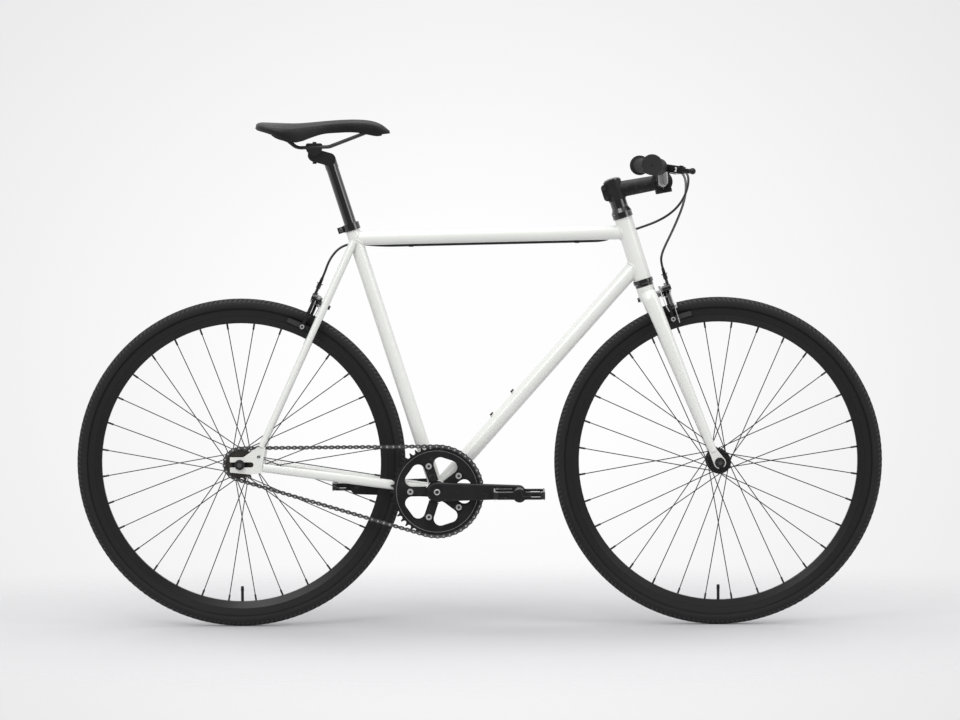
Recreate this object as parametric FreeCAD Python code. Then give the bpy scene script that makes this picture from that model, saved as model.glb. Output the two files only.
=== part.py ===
import FreeCAD, Part
import math
import os
from FreeCAD import Vector

# Fixed gear bicycle. Millimetres. +X forward, +Y to the rider's left, +Z up.
# The origin lies on the ground, half way between the two axles, on the centre plane.

# Running gear and frame geometry
wheelbase = 985.0
wheel_radius = 339.0
bottom_bracket_drop = 58.0
seat_angle = 72.2
head_angle = 72.7
fork_rake = 37.0
axle_to_crown = 390.0
lower_headset_height = 15.0
head_tube_length = 133.0

# Drivetrain
chain_pitch = 12.7
chainring_teeth = 46
cog_teeth = 16
chain_link_count = 96
chain_line = 43.5
roller_radius = 3.87
roller_seat_clearance = 0.13
tooth_height = 3.3
tooth_tip_half_width = 1.15
tooth_seat_half_angle = 65.0
sprocket_thickness = 3.0
chain_inner_width = 3.5
chain_plate_thickness = 1.05
chain_plate_half_height = 4.25
chain_plate_waist = 2.2
chain_plate_gap = 0.12
chain_pin_radius = 1.8
chain_pin_clearance = 0.15
chain_pin_overhang = 0.6

# Frame tubes
head_tube_radius = 18.5
head_tube_wall = 2.6
top_tube_radius = 14.3
down_tube_radius = 15.9
tube_wall = 1.2
seat_tube_radius = 14.3
seatpost_radius = 12.7
seat_tube_clearance = 0.05
seat_tube_length = 577.0
seat_slot_width = 2.6
seat_slot_length = 34.0
top_tube_seat_drop = 31.0
top_tube_head_drop = 31.5
down_tube_head_rise = 33.5
shell_radius = 20.0
shell_width = 68.0
shell_bore_radius = 17.2
chain_stay_inset = 21.0
chain_stay_height = 10.5
chain_stay_width = 8.0
chain_stay_end_height = 8.5
chain_stay_end_width = 6.0
seat_stay_radius = 8.0
seat_stay_end_radius = 6.2
seat_stay_top_drop = 36.0
seat_stay_top_spread = 14.5
bridge_radius = 7.5
bridge_from_axle = 367.0
stay_wall = 1.1
stay_plug_length = 26.0
stay_end_inset = 3.0

# Track ends, measured from the rear axle
rear_hub_width = 120.0
track_end_thickness = 6.5
track_prong_length = 20.0
track_end_height = 15.5
track_slot_front = 23.0
track_end_reach = 47.0
track_end_rise = 36.0
track_end_drop = 20.0
track_hole_radius = 3.6
slot_clearance = 0.4

# Bottle bosses on the down tube
boss_spacing = 64.0
boss_lower_distance = 192.0
boss_radius = 5.5
boss_height = 2.6
bottle_bolt_radius = 2.5
bottle_bolt_head_radius = 4.2
bottle_bolt_head_height = 3.2

# Headset, stem and bar
steerer_radius = 14.3
steerer_wall = 2.2
upper_headset_height = 21.0
cup_radius = 21.0
cup_insert = 12.0
cup_clearance = 0.05
crown_race_height = 5.0
spacer_height = 17.0
spacer_radius = 17.3
spacer_count = 2
stem_clamp_height = 42.0
stem_clamp_radius = 18.5
stem_drop_angle = 7.0
stem_length = 98.0
stem_height = 17.0
stem_width = 14.5
stem_cap_height = 5.0
stem_cap_gap = 3.0
stem_end_height = 15.0
stem_ear_width = 24.0
stem_ear_radius = 7.5
pinch_bolt_spacing = 20.0
pinch_slit = 2.0
cup_height = 10.0
cup_chamfer = 2.0
bar_clamp_radius = 15.9
bar_clamp_width = 46.0
faceplate_wall = 6.0
faceplate_gap = 1.2
stem_bolt_radius = 2.5
stem_bolt_head_radius = 4.3
stem_bolt_head_height = 5.0
lug_back_share = 0.7
lug_front_share = 0.55
thread_share = 0.6
pinch_inset_share = 0.4
bar_radius = 11.1
bar_half_width = 270.0
bar_straight_share = 0.213
bar_taper = 18.0
bar_rise_share = 0.42
bar_rise = 29.0
bar_rise_sweep = 6.0
bar_end_rise = 5.5
bar_end_sweep = 27.0
bar_bend_radius = 55.0
grip_length_share = 0.45
grip_radius = 15.6
grip_rib_depth = 1.1
grip_rib_count = 9
grip_rib_shares = (0.55, 0.62, 0.93)
grip_flange_radius = 21.0
grip_flange_width = 6.0
grip_cap = 3.5
part_gap = 0.3

# Fork blades and crown
blade_foot_ahead = 33.4
blade_slope_share = 0.0844
blade_tip_height = 26.0
blade_tip_depth = 8.0
blade_tip_width = 7.0
blade_shoulder_height = 345.0
crown_arch_drop = 18.0
crown_spread = 37.0
crown_depth = 16.0
crown_width = 11.5
crown_bend_radius = 27.0
crown_boss_radius = 18.5
fork_end_radius = 12.5

# Wheels
tyre_width = 28.0
tyre_wall = 4.2
tyre_rise = 22.0
rim_depth = 29.0
rim_track_depth = 15.0
rim_well_depth = 8.0
rim_width = 19.5
rim_nose_width = 9.0
rim_wall = 2.0
spoke_count = 32
spoke_cross_holes = 3
spoke_radius = 1.0
spoke_rim_offset = 2.2
nipple_radius = 2.0
nipple_length = 12.0
valve_radius = 3.0
valve_length = 22.0
valve_cap_radius = 3.6
valve_cap_length = 9.0
hub_flange_radius = 24.5
hub_flange_thickness = 3.2
hub_hole_inset = 3.5
front_hub_width = 100.0
front_flange_spread = 34.0
rear_flange_spread = 31.0
hub_barrel_radius = 13.0
hub_end_radius = 15.0
cog_boss_radius = 17.3
lockring_radius = 20.5
lockring_width = 4.0
lockring_notches = 6
cog_spoke_room = 2.2
front_axle_radius = 4.5
rear_axle_radius = 5.0
running_clearance = 0.05
cone_radius = 8.5
cone_length = 7.0
axle_tip_step = 0.5
axle_groove_depth = 1.0
axle_groove_length = 1.0
axle_nut_radius = 8.7
axle_nut_length = 9.0
nut_sides = 6
axle_washer_radius = 10.5
axle_washer_thickness = 2.0
axle_overhang = 6.0
fork_end_thickness = 6.0

# Crankset and pedals
crank_length = 168.0
spider_bolt_circle = 110.0
spider_arm_count = 5
spider_thickness = 4.5
spider_hub_radius = 22.0
spider_arm_width = 8.5
spider_tip_radius = 7.5
chainring_inner_radius = 24.0
window_outer_place = 57.0
window_outer_radius = 14.0
window_half_angle = 11.0
window_inner_place = 32.0
window_inner_radius = 9.0
chainring_bolt_radius = 5.0
chainring_bolt_head_radius = 6.3
chainring_bolt_head_height = 1.6
crank_boss_radius = 19.5
crank_eye_radius = 14.0
crank_arm_thickness = 13.0
crank_flare = 9.0
crank_edge_share = 0.9
crank_boss_gap = 1.0
spindle_radius = 8.5
spindle_square = 12.6
spindle_taper_share = 0.96
spindle_bearing_half = 26.0
bearing_width = 9.0
bearing_radius = 15.0
cup_flange_radius = 19.0
cup_flange_width = 3.0
crank_cap_radius = 11.0
crank_cap_height = 2.2
pedal_axle_radius = 4.6
pedal_axle_collar_radius = 8.0
pedal_axle_collar_length = 5.0
pedal_length = 104.0
pedal_width = 82.0
pedal_height = 16.0
pedal_rail_thickness = 3.2
pedal_body_radius = 11.0
pedal_cap_radius = 13.5
pedal_cap_height = 4.0
pedal_bridge_half = 14.0
pedal_stud_radius = 1.6
pedal_stud_height = 2.2

# Brakes
brake_bolt_radius = 3.0
brake_plane_offset = 21.5
brake_arm_thickness = 6.0
brake_arm_gap = 0.6
brake_arm_radius = 6.0
brake_pivot_radius = 9.0
brake_side_pivot = 21.0
brake_side_rise = 6.0
brake_arm_spread = 26.0
brake_shoulder_drop = 12.0
brake_pad_gap = 1.6
brake_pad_thickness = 7.6
brake_pad_length = 48.0
brake_pad_height = 9.5
brake_pad_forward = 13.0
shoe_bolt_radius = 2.8
shoe_bolt_head_radius = 4.6
shoe_bolt_head_height = 4.0
cable_side = 23.0
barrel_high = 30.0
barrel_radius = 3.2
barrel_flange_radius = 6.6
barrel_flange_thickness = 2.0
anchor_drop = 32.0
barrel_boss_height = 8.0
boss_reach = 12.0
cable_plane = 7.3
brake_plate_thickness = 5.0
plate_taper_share = 0.9
brake_washer_share = 0.7
brake_nut_share = 1.6
front_pivot_drop = 6.0
front_plane_offset = 38.0
lever_grip_gap = 11.0
lever_clamp_width = 16.0
lever_clamp_wall = 3.2
lever_reach = 44.0
lever_pivot_out = 12.0
lever_blade_length = 92.0
lever_blade_reach = 34.0
lever_blade_radius = 6.0
lever_tip_radius = 6.5
lever_thickness = 9.0
lever_pivot_radius = 3.0
lever_fork_wall = 3.0
lever_barrel_length = 20.0
lever_barrel_radius = 4.6
lever_drop_angle = 9.0
lever_hub_radius = 9.0
lever_slot_room = 3.0
lever_slot_span = 60.0
lever_pin_head = 1.6
lever_knee_out = 24.0
lever_knee_reach = 24.0
lever_blade_end_radius = 5.0

# Cables and clips
housing_radius = 2.5
wire_radius = 0.8
barrel_bore_radius = 1.7
clip_width = 9.0
clip_wall = 0.9
clip_front_x = 222.0
clip_rear_x = -160.0
clip_inset = 20.0
cable_shift = 4.0
cable_aside = 7.2
cable_lead = 32.0
wire_tail = 36.0
barrel_approach = 24.0
ferrule_length = 9.0
ferrule_radius = 3.1

# Seatpost and saddle
seatpost_insertion = 110.0
seatpost_exposed = 140.0
seatpost_wall = 2.2
collar_radius = 17.6
collar_height = 15.0
collar_lip = 1.6
collar_ear_length = 13.0
collar_ear_width = 12.0
collar_bolt_radius = 2.5
collar_bolt_head_radius = 4.3
post_head_radius = 13.5
post_head_height = 20.0
clamp_setback = 21.5
clamp_rise = 33.0
clamp_half_width = 24.0
clamp_length = 34.0
clamp_plate_height = 8.0
rail_radius = 3.5
clamp_bolt_radius = 3.0
saddle_length = 275.0
saddle_width = 145.0
saddle_rise = 57.5
saddle_rear_reach = 119.8
saddle_base_thickness = 3.0
saddle_base_gap = 0.8
saddle_bulge_share = 0.4
least_arch_share = 0.125
saddle_depth = 46.0
base_width_share = 0.9
collar_ear_share = 0.85
clamp_seat_radius = 17.0
clamp_seat_share = 0.95
rail_bend_radius = 24.0
rail_points = [(-74.0, 30.0, 30.5), (-36.0, 22.0, -1.0), (30.0, 22.0, 1.0), (121.0, 9.0, 35.5)]

rim_outer_radius = wheel_radius - tyre_rise
rim_inner_radius = rim_outer_radius - rim_depth
rim_track_radius = rim_outer_radius - rim_track_depth
rim_well_radius = rim_outer_radius - rim_well_depth
crown_arch_height = axle_to_crown - crown_arch_drop
front_pivot_height = crown_arch_height - front_pivot_drop
bar_straight = bar_half_width * bar_straight_share
bar_rise_end = bar_half_width * bar_rise_share
grip_length = bar_half_width * grip_length_share

# One overrun for every cut, and the share of a run that its bends may use
cut_over = 5.0
run_share = 0.45
mostly_share = 0.5
closing_share = 1e-9


def place(x, y, z):
    return Vector(x, y, z)


def mm_between(a, b):
    return (b - a).Length


def unit(v):
    return v * (1.0 / v.Length)


def rod(start, end, radius):
    """Solid round bar from one point to another."""
    return Part.makeCylinder(radius, mm_between(start, end), start, end - start)


def cone_rod(start, end, start_radius, end_radius):
    """Round bar that tapers from one end to the other."""
    return Part.makeCone(start_radius, end_radius, mm_between(start, end), start, end - start)


def pipe_piece(start, end, radius, wall):
    """Round tube, open at both ends."""
    return rod(start, end, radius).cut(rod(start, end, radius - wall))


def disc_ring(centre, axis, half_width, outer, inner):
    """Flat ring about an axis, centred on a point."""
    step = unit(axis) * half_width
    return rod(centre - step, centre + step, outer).cut(rod(centre - step, centre + step, inner))


def turned(profile, centre):
    """Revolve a (distance along Y, radius) outline about a Y axis through a point."""
    points = [place(0.0, y, r) for y, r in profile]
    face = Part.Face(Part.makePolygon(points + points[:1]))
    solid = face.revolve(Vector(), place(0.0, 1.0, 0.0), 360.0)
    solid.translate(centre)
    return solid


def along_axis(profile, base, axis):
    """Revolve a (distance, radius) outline about any axis from a base point."""
    points = [place(r, 0.0, d) for d, r in profile]
    face = Part.Face(Part.makePolygon(points + points[:1]))
    solid = face.revolve(Vector(), place(0.0, 0.0, 1.0), 360.0)
    solid.Placement = FreeCAD.Placement(base, FreeCAD.Rotation(place(0.0, 0.0, 1.0), axis))
    return solid


def limb_wire(a, b, radius_a, radius_b, normal):
    """Outline round two circles joined by their common tangents."""
    line = unit(b - a)
    side = unit(normal.cross(line))
    lean = math.asin((radius_a - radius_b) / mm_between(a, b))
    left = side * math.cos(lean) + line * math.sin(lean)
    right = side * -math.cos(lean) + line * math.sin(lean)
    back = Part.Arc(a + left * radius_a, a - line * radius_a, a + right * radius_a).toShape()
    front = Part.Arc(b + right * radius_b, b + line * radius_b, b + left * radius_b).toShape()
    low = Part.LineSegment(a + right * radius_a, b + right * radius_b).toShape()
    high = Part.LineSegment(b + left * radius_b, a + left * radius_a).toShape()
    return Part.Wire([back, low, front, high])


def limb(a, b, radius_a, radius_b, thickness):
    """Flat tapered bar with round ends; its thickness is a vector."""
    wire = limb_wire(a, b, radius_a, radius_b, thickness)
    return Part.Face(wire).extrude(thickness)


def joined(shapes):
    """One solid from overlapping shapes."""
    solid = shapes[0].multiFuse(shapes[1:])
    return solid.removeSplitter()


def route_wire(points, bend_radius=None):
    """Straight runs joined by tangent arcs, as large as the runs allow or at one radius."""
    edges = []
    start = points[0]
    for before, corner, after in zip(points, points[1:], points[2:]):
        arrive = unit(corner - before)
        leave = unit(after - corner)
        turn = arrive.getAngle(leave)
        shorter = min(mm_between(before, corner), mm_between(corner, after))
        tangent = run_share * shorter
        if bend_radius:
            tangent = min(tangent, bend_radius * math.tan(turn / 2))
        radius = tangent / math.tan(turn / 2)
        enter = corner - arrive * tangent
        exit_point = corner + leave * tangent
        inward = unit(leave - arrive)
        middle = corner + inward * (radius / math.cos(turn / 2) - radius)
        edges.append(Part.LineSegment(start, enter).toShape())
        edges.append(Part.Arc(enter, middle, exit_point).toShape())
        start = exit_point
    edges.append(Part.LineSegment(start, points[-1]).toShape())
    return Part.Wire(edges)


def swept(points, radius, bend_radius=None):
    """Round bar along a route."""
    wire = route_wire(points, bend_radius)
    ring = Part.Wire(Part.makeCircle(radius, points[0], points[1] - points[0]))
    return wire.makePipeShell([ring], True, False)


def export(node, shapes):
    """Write one node from one solid or a list of solids."""
    shape = shapes if not isinstance(shapes, list) else Part.makeCompound(shapes)
    shape.exportStep("parts/" + node + ".step")


os.makedirs("parts", exist_ok=True)

# Axles, bottom bracket and the main lines of the frame
sideways = place(0.0, 1.0, 0.0)
rear_axle = place(-wheelbase / 2, 0.0, wheel_radius)
front_axle = place(wheelbase / 2, 0.0, wheel_radius)


def pitch_radius(teeth):
    return chain_pitch / (2 * math.sin(math.pi / teeth))


ring_radius = pitch_radius(chainring_teeth)
cog_radius = pitch_radius(cog_teeth)


def links_needed(distance):
    """Pitches in a closed chain round both wheels at a centre distance."""
    lean = math.asin((ring_radius - cog_radius) / distance)
    on_ring = chainring_teeth * (math.pi + 2 * lean) / (2 * math.pi)
    on_cog = cog_teeth * (math.pi - 2 * lean) / (2 * math.pi)
    return on_ring + on_cog + 2 * distance * math.cos(lean) / chain_pitch


def chain_centre_distance():
    """Centre distance at which the chain closes exactly, by halving."""
    low = ring_radius + cog_radius
    high = chain_pitch * chain_link_count
    while high - low > closing_share * chain_pitch:
        middle = (low + high) / 2
        if links_needed(middle) < chain_link_count:
            low = middle
        else:
            high = middle
    return low


chain_stay_length = chain_centre_distance()
bracket_reach = math.sqrt(chain_stay_length ** 2 - bottom_bracket_drop ** 2)
bracket = rear_axle + place(bracket_reach, 0.0, -bottom_bracket_drop)

seat_lean = math.radians(seat_angle)
seat_up = place(-math.cos(seat_lean), 0.0, math.sin(seat_lean))
seat_back = place(-math.sin(seat_lean), 0.0, -math.cos(seat_lean))
steer_lean = math.radians(head_angle)
steer_up = place(-math.cos(steer_lean), 0.0, math.sin(steer_lean))
steer_front = place(math.sin(steer_lean), 0.0, math.cos(steer_lean))
steer_foot = front_axle - steer_front * fork_rake


def on_steerer(height, ahead=0.0):
    """Point at a height along the steering axis, measured from the axle's foot."""
    return steer_foot + steer_up * height + steer_front * ahead


def on_seat_tube(height, behind=0.0):
    """Point at a distance up the seat tube from the bottom bracket."""
    return bracket + seat_up * height + seat_back * behind


top_tube_seat_height = seat_tube_length - top_tube_seat_drop
seat_stay_top_height = seat_tube_length - seat_stay_top_drop


head_low = axle_to_crown + lower_headset_height
head_high = head_low + head_tube_length


# Frame tubes, each mitred to the tube it is brazed to
def make_frame_tubes():
    head_a, head_b = on_steerer(head_low), on_steerer(head_high)
    head_solid = rod(head_a, head_b, head_tube_radius)
    export("head_tube", pipe_piece(head_a, head_b, head_tube_radius, head_tube_wall))

    seat_top = on_seat_tube(seat_tube_length)
    shell_half = sideways * (shell_width / 2)
    shell_solid = rod(bracket - shell_half, bracket + shell_half, shell_radius)
    seat_solid = rod(bracket, seat_top, seat_tube_radius)
    bore = rod(bracket, seat_top + seat_up * cut_over, seatpost_radius + seat_tube_clearance)
    slot_foot = on_seat_tube(seat_tube_length - seat_slot_length)
    slot = limb(slot_foot, seat_top + seat_up * cut_over, seat_slot_width / 2, seat_slot_width / 2,
                seat_back * (seat_tube_radius + cut_over))
    seat_tube = seat_solid.cut(bore).cut(shell_solid).cut(slot)
    export("seat_tube", seat_tube)

    top_a = on_seat_tube(top_tube_seat_height)
    top_b = on_steerer(head_high - top_tube_head_drop)
    top_tube = pipe_piece(top_a, top_b, top_tube_radius, tube_wall)
    export("top_tube", top_tube.cut(seat_solid).cut(head_solid))

    down_b = on_steerer(head_low + down_tube_head_rise)
    down_solid = rod(bracket, down_b, down_tube_radius)
    down_bore = rod(bracket, down_b, down_tube_radius - tube_wall)
    bosses, holes, bolts = [], [], []
    for base, up in bottle_boss_places():
        bosses.append(rod(base - up * down_tube_radius / 2, base + up * boss_height, boss_radius))
        shank = rod(base - up * (down_tube_radius - tube_wall), base + up * boss_height, bottle_bolt_radius)
        holes.append(shank)
        head = rod(base + up * boss_height, base + up * (boss_height + bottle_bolt_head_height),
                   bottle_bolt_head_radius)
        bolts.append(joined([shank, head]))
    down_tube = joined([down_solid] + bosses).cut(down_bore)
    for hole in holes:
        down_tube = down_tube.cut(hole)
    export("down_tube", down_tube.cut(head_solid).cut(shell_solid).cut(seat_solid))
    export("bottle_bolts", bolts)

    shell_bore = rod(bracket - shell_half, bracket + shell_half, shell_bore_radius)
    export("bottom_bracket_shell", shell_solid.cut(shell_bore))
    return seat_solid, shell_solid


def bottle_boss_places():
    """Foot and outward direction of each boss on the upper side of the down tube."""
    line = unit(on_steerer(head_low + down_tube_head_rise) - bracket)
    up = line.cross(sideways) * -1.0
    if up.z < 0:
        up = up * -1.0
    for distance in (boss_lower_distance, boss_lower_distance + boss_spacing):
        yield bracket + line * distance + up * down_tube_radius, up


def oval(centre, along, half_height, half_width):
    """Upright oval section square to a stay."""
    across = unit(along.cross(place(0.0, 0.0, 1.0)))
    upright = unit(across.cross(along))
    if half_height > half_width:
        curve = Part.Ellipse(centre + upright * half_height, centre + across * half_width, centre)
    else:
        curve = Part.Ellipse(centre + across * half_width, centre + upright * half_height, centre)
    return Part.Wire(curve.toShape())


def chain_stay_line(side):
    """Front and rear centres of a chain stay."""
    front = bracket + sideways * (side * chain_stay_inset)
    inner = rear_hub_width / 2 + track_end_thickness / 2
    rear = rear_axle + place(track_end_reach, side * inner, -track_end_drop / 3)
    return front, rear


def seat_stay_line(side):
    """Upper and lower centres of a seat stay."""
    top = on_seat_tube(seat_stay_top_height, seat_tube_radius / 3) + sideways * (side * seat_stay_top_spread)
    inner = rear_hub_width / 2 + track_end_thickness / 2
    low = rear_axle + place(track_end_reach - stay_end_inset, side * inner, track_end_rise)
    return top, low


def track_end(side):
    """Plate with a rear-opening slot, a pierced web and two stay roots."""
    inner = rear_axle + sideways * (side * rear_hub_width / 2)
    thick = sideways * (side * track_end_thickness)
    prong = inner + place(-track_prong_length, 0.0, 0.0)
    slot_end = inner + place(track_slot_front, 0.0, 0.0)
    stay_low = inner + place(track_end_reach, 0.0, -track_end_drop / 3)
    stay_high = inner + place(track_end_reach, 0.0, track_end_rise)
    root = track_end_height * 2 / 3
    outline = [
        prong + place(0.0, 0.0, track_end_height),
        slot_end + place(-track_end_height, 0.0, track_end_height),
        stay_high + place(-root, 0.0, 0.0),
        stay_high + place(seat_stay_end_radius, 0.0, 0.0),
        stay_low + place(0.0, 0.0, root),
        stay_low + place(0.0, 0.0, -root),
        slot_end + place(0.0, 0.0, -track_end_drop),
        prong + place(0.0, 0.0, -track_end_height),
    ]
    plate = Part.Face(Part.makePolygon(outline + outline[:1])).extrude(thick)
    half_slot = rear_axle_radius + slot_clearance
    slot = limb(prong + place(-cut_over, 0.0, 0.0), slot_end, half_slot, half_slot, thick)
    pierce = inner + place(track_slot_front + track_end_height, 0.0, track_end_height)
    window = limb(pierce, pierce + place(track_hole_radius, 0.0, track_hole_radius),
                  track_hole_radius, track_hole_radius / 2, thick)
    return plate.cut(slot).cut(window)


def make_stays(seat_solid, shell_solid):
    ends = [track_end(side) for side in (-1, 1)]
    export("track_ends", ends)
    chain_stays, seat_stays = [], []
    for side, end in zip((-1, 1), ends):
        front, rear = chain_stay_line(side)
        along = rear - front
        first = oval(front, along, chain_stay_height, chain_stay_width)
        last = oval(rear, along, chain_stay_end_height, chain_stay_end_width)
        bore_a = oval(front, along, chain_stay_height - stay_wall, chain_stay_width - stay_wall)
        bore_b = oval(rear, along, chain_stay_end_height - stay_wall, chain_stay_end_width - stay_wall)
        stay = Part.makeLoft([first, last], True, True).cut(Part.makeLoft([bore_a, bore_b], True, True))
        chain_stays.append(stay.cut(shell_solid).cut(end))
        top, low = seat_stay_line(side)
        stay = cone_rod(top, low, seat_stay_radius, seat_stay_end_radius)
        plug = unit(low - top) * stay_plug_length
        stay = stay.cut(cone_rod(top + plug, low - plug, seat_stay_radius - stay_wall,
                                 seat_stay_end_radius - stay_wall))
        seat_stays.append(stay.cut(seat_solid).cut(end))
    export("chain_stays", chain_stays)
    left, right = stay_bridge_ends()
    bridge = rod(left, right, bridge_radius)
    for side in (-1, 1):
        top, low = seat_stay_line(side)
        bridge = bridge.cut(cone_rod(top, low, seat_stay_radius, seat_stay_end_radius))
    bolt_line = rod(bridge_centre() - stay_out() * (2 * bridge_radius),
                    bridge_centre() + stay_out() * (2 * bridge_radius), brake_bolt_radius)
    export("seat_stays", seat_stays + [bridge.cut(bolt_line)])


def stay_out():
    """Direction square to the plane of the seat stays, towards the rear."""
    top, low = seat_stay_line(1)
    down = unit(place(low.x - top.x, 0.0, low.z - top.z))
    return place(down.z, 0.0, -down.x)


def stay_up():
    top, low = seat_stay_line(1)
    return unit(place(top.x - low.x, 0.0, top.z - low.z))


def stay_bridge_ends():
    """Points on both stays at the bridge's distance from the rear axle, above the tyre."""
    ends = []
    for side in (-1, 1):
        top, low = seat_stay_line(side)
        start = place(top.x - rear_axle.x, 0.0, top.z - rear_axle.z)
        run = place(low.x - top.x, 0.0, low.z - top.z)
        middle = -start.dot(run) / run.dot(run)
        nearest = (start + run * middle).Length
        back = math.sqrt((bridge_from_axle ** 2 - nearest ** 2) / run.dot(run))
        ends.append(top + (low - top) * (middle - back))
    return ends


def bridge_centre():
    left, right = stay_bridge_ends()
    return (left + right) * 0.5


seat_solid, shell_solid = make_frame_tubes()
make_stays(seat_solid, shell_solid)


# Wheels
def make_tyre(centre):
    middle = wheel_radius - tyre_width / 2
    outer = tyre_width / 2
    inner = outer - tyre_wall
    lip = rim_outer_radius + part_gap
    side = math.sqrt(outer ** 2 - (middle - lip) ** 2)
    bead = rim_width / 2 - rim_wall - part_gap
    bead_in = bead - tyre_wall
    bead_foot = rim_well_radius + part_gap
    throat = middle - math.sqrt(inner ** 2 - bead_in ** 2)

    def at(y, r):
        return place(0.0, y, r)

    edges = [
        Part.Arc(at(side, lip), at(outer, middle), at(0.0, wheel_radius)).toShape(),
        Part.Arc(at(0.0, wheel_radius), at(-outer, middle), at(-side, lip)).toShape(),
        Part.LineSegment(at(-side, lip), at(-bead, lip)).toShape(),
        Part.LineSegment(at(-bead, lip), at(-bead, bead_foot)).toShape(),
        Part.LineSegment(at(-bead, bead_foot), at(-bead_in, bead_foot)).toShape(),
        Part.LineSegment(at(-bead_in, bead_foot), at(-bead_in, throat)).toShape(),
        Part.Arc(at(-bead_in, throat), at(-inner, middle), at(0.0, middle + inner)).toShape(),
        Part.Arc(at(0.0, middle + inner), at(inner, middle), at(bead_in, throat)).toShape(),
        Part.LineSegment(at(bead_in, throat), at(bead_in, bead_foot)).toShape(),
        Part.LineSegment(at(bead_in, bead_foot), at(bead, bead_foot)).toShape(),
        Part.LineSegment(at(bead, bead_foot), at(bead, lip)).toShape(),
        Part.LineSegment(at(bead, lip), at(side, lip)).toShape(),
    ]
    tyre = Part.Face(Part.Wire(edges)).revolve(Vector(), sideways, 360.0)
    tyre.translate(centre)
    return tyre


def make_rim(centre):
    half = rim_width / 2
    nose = rim_nose_width / 2
    well = half - rim_wall
    outline = [
        (-half, rim_outer_radius), (-half, rim_track_radius), (-nose, rim_inner_radius),
        (nose, rim_inner_radius), (half, rim_track_radius), (half, rim_outer_radius),
        (well, rim_outer_radius), (well, rim_well_radius),
        (-well, rim_well_radius), (-well, rim_outer_radius),
    ]
    chamber = [
        (-well, rim_track_radius), (-well, rim_well_radius - rim_wall),
        (well, rim_well_radius - rim_wall), (well, rim_track_radius),
        (nose - rim_wall / 2, rim_inner_radius + rim_wall), (rim_wall / 2 - nose, rim_inner_radius + rim_wall),
    ]
    valve_hole = rod(centre - place(0.0, 0.0, rim_outer_radius), centre - place(0.0, 0.0, rim_inner_radius / 2),
                     valve_radius + running_clearance)
    return turned(outline, centre).cut(turned(chamber, centre)).cut(valve_hole)


def make_valve(centre):
    top = centre - place(0.0, 0.0, rim_well_radius - rim_wall)
    neck = centre - place(0.0, 0.0, rim_inner_radius - valve_length)
    cap_end = neck + place(0.0, 0.0, valve_cap_length)
    return joined([rod(top, neck, valve_radius), cone_rod(neck, cap_end, valve_cap_radius, valve_radius)])


def make_spokes(centre, spread):
    """Three-cross lacing: rim holes alternate sides, hub holes lead and trail in turn."""
    hole_radius = hub_flange_radius - hub_hole_inset
    hole_step = 2 * math.pi / (spoke_count / 2)
    swing = spoke_cross_holes * hole_step
    start = 2 * math.pi / spoke_count / 2
    edge = math.sqrt(hub_flange_radius ** 2 - (hole_radius * math.sin(swing)) ** 2)
    on_flange = edge - hole_radius * math.cos(swing)
    span = math.sqrt(rim_inner_radius ** 2 + hole_radius ** 2
                     - 2 * rim_inner_radius * hole_radius * math.cos(swing))
    cone_rise = hub_hole_inset / (hub_flange_radius - hub_barrel_radius)
    solids = []
    for index in range(spoke_count):
        side = -1 if index % 2 else 1
        leads = 1 if (index // 2) % 2 else -1
        rim_angle = start + index * 2 * math.pi / spoke_count - math.pi / 2
        hub_angle = rim_angle + leads * swing
        clear = hub_flange_thickness / 2 + hub_flange_thickness * cone_rise + spoke_radius + running_clearance
        if leads > 0:
            slope = (spread + clear - spoke_rim_offset) / span
            hub_y = spread + clear + slope * on_flange
        else:
            hub_y = spread - clear
        hub_end = place(hole_radius * math.cos(hub_angle), side * hub_y, hole_radius * math.sin(hub_angle))
        rim_end = place(rim_inner_radius * math.cos(rim_angle), side * spoke_rim_offset,
                        rim_inner_radius * math.sin(rim_angle))
        line = unit(rim_end - hub_end)
        tip = rim_end - line * part_gap
        nipple = rod(tip - line * nipple_length, tip, nipple_radius)
        spoke = joined([rod(hub_end, tip, spoke_radius), nipple])
        spoke.translate(centre)
        solids.append(spoke)
    return solids


def hub_outline(spread, width, bore, boss_end=None):
    """Half outline of a flanged hub shell, mirrored in Y, with a bearing bore."""
    thick = hub_flange_thickness / 2
    end = width / 2
    right = [
        (hub_barrel_radius, spread - thick - hub_flange_thickness),
        (hub_flange_radius, spread - thick), (hub_flange_radius, spread + thick),
        (hub_end_radius, spread + thick + hub_flange_thickness / 2), (hub_end_radius, end),
    ]
    left = [(-y, r) for r, y in reversed(right)]
    if boss_end:
        left = [(-boss_end, cog_boss_radius), (-spread - thick, cog_boss_radius)] + left[2:]
    return left + [(y, r) for r, y in right] + [(end, bore), (left[0][0], bore)]


def make_front_wheel():
    export("front_tyre", make_tyre(front_axle))
    export("front_rim", make_rim(front_axle))
    export("front_valve", make_valve(front_axle))
    export("front_spokes", make_spokes(front_axle, front_flange_spread))
    bore = cone_radius + running_clearance
    shell_end = front_hub_width - 2 * cone_length
    export("front_hub", turned(hub_outline(front_flange_spread, shell_end, bore), front_axle))
    export("front_axle", axle_set(front_axle, front_axle_radius, front_hub_width, fork_end_thickness))


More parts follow.
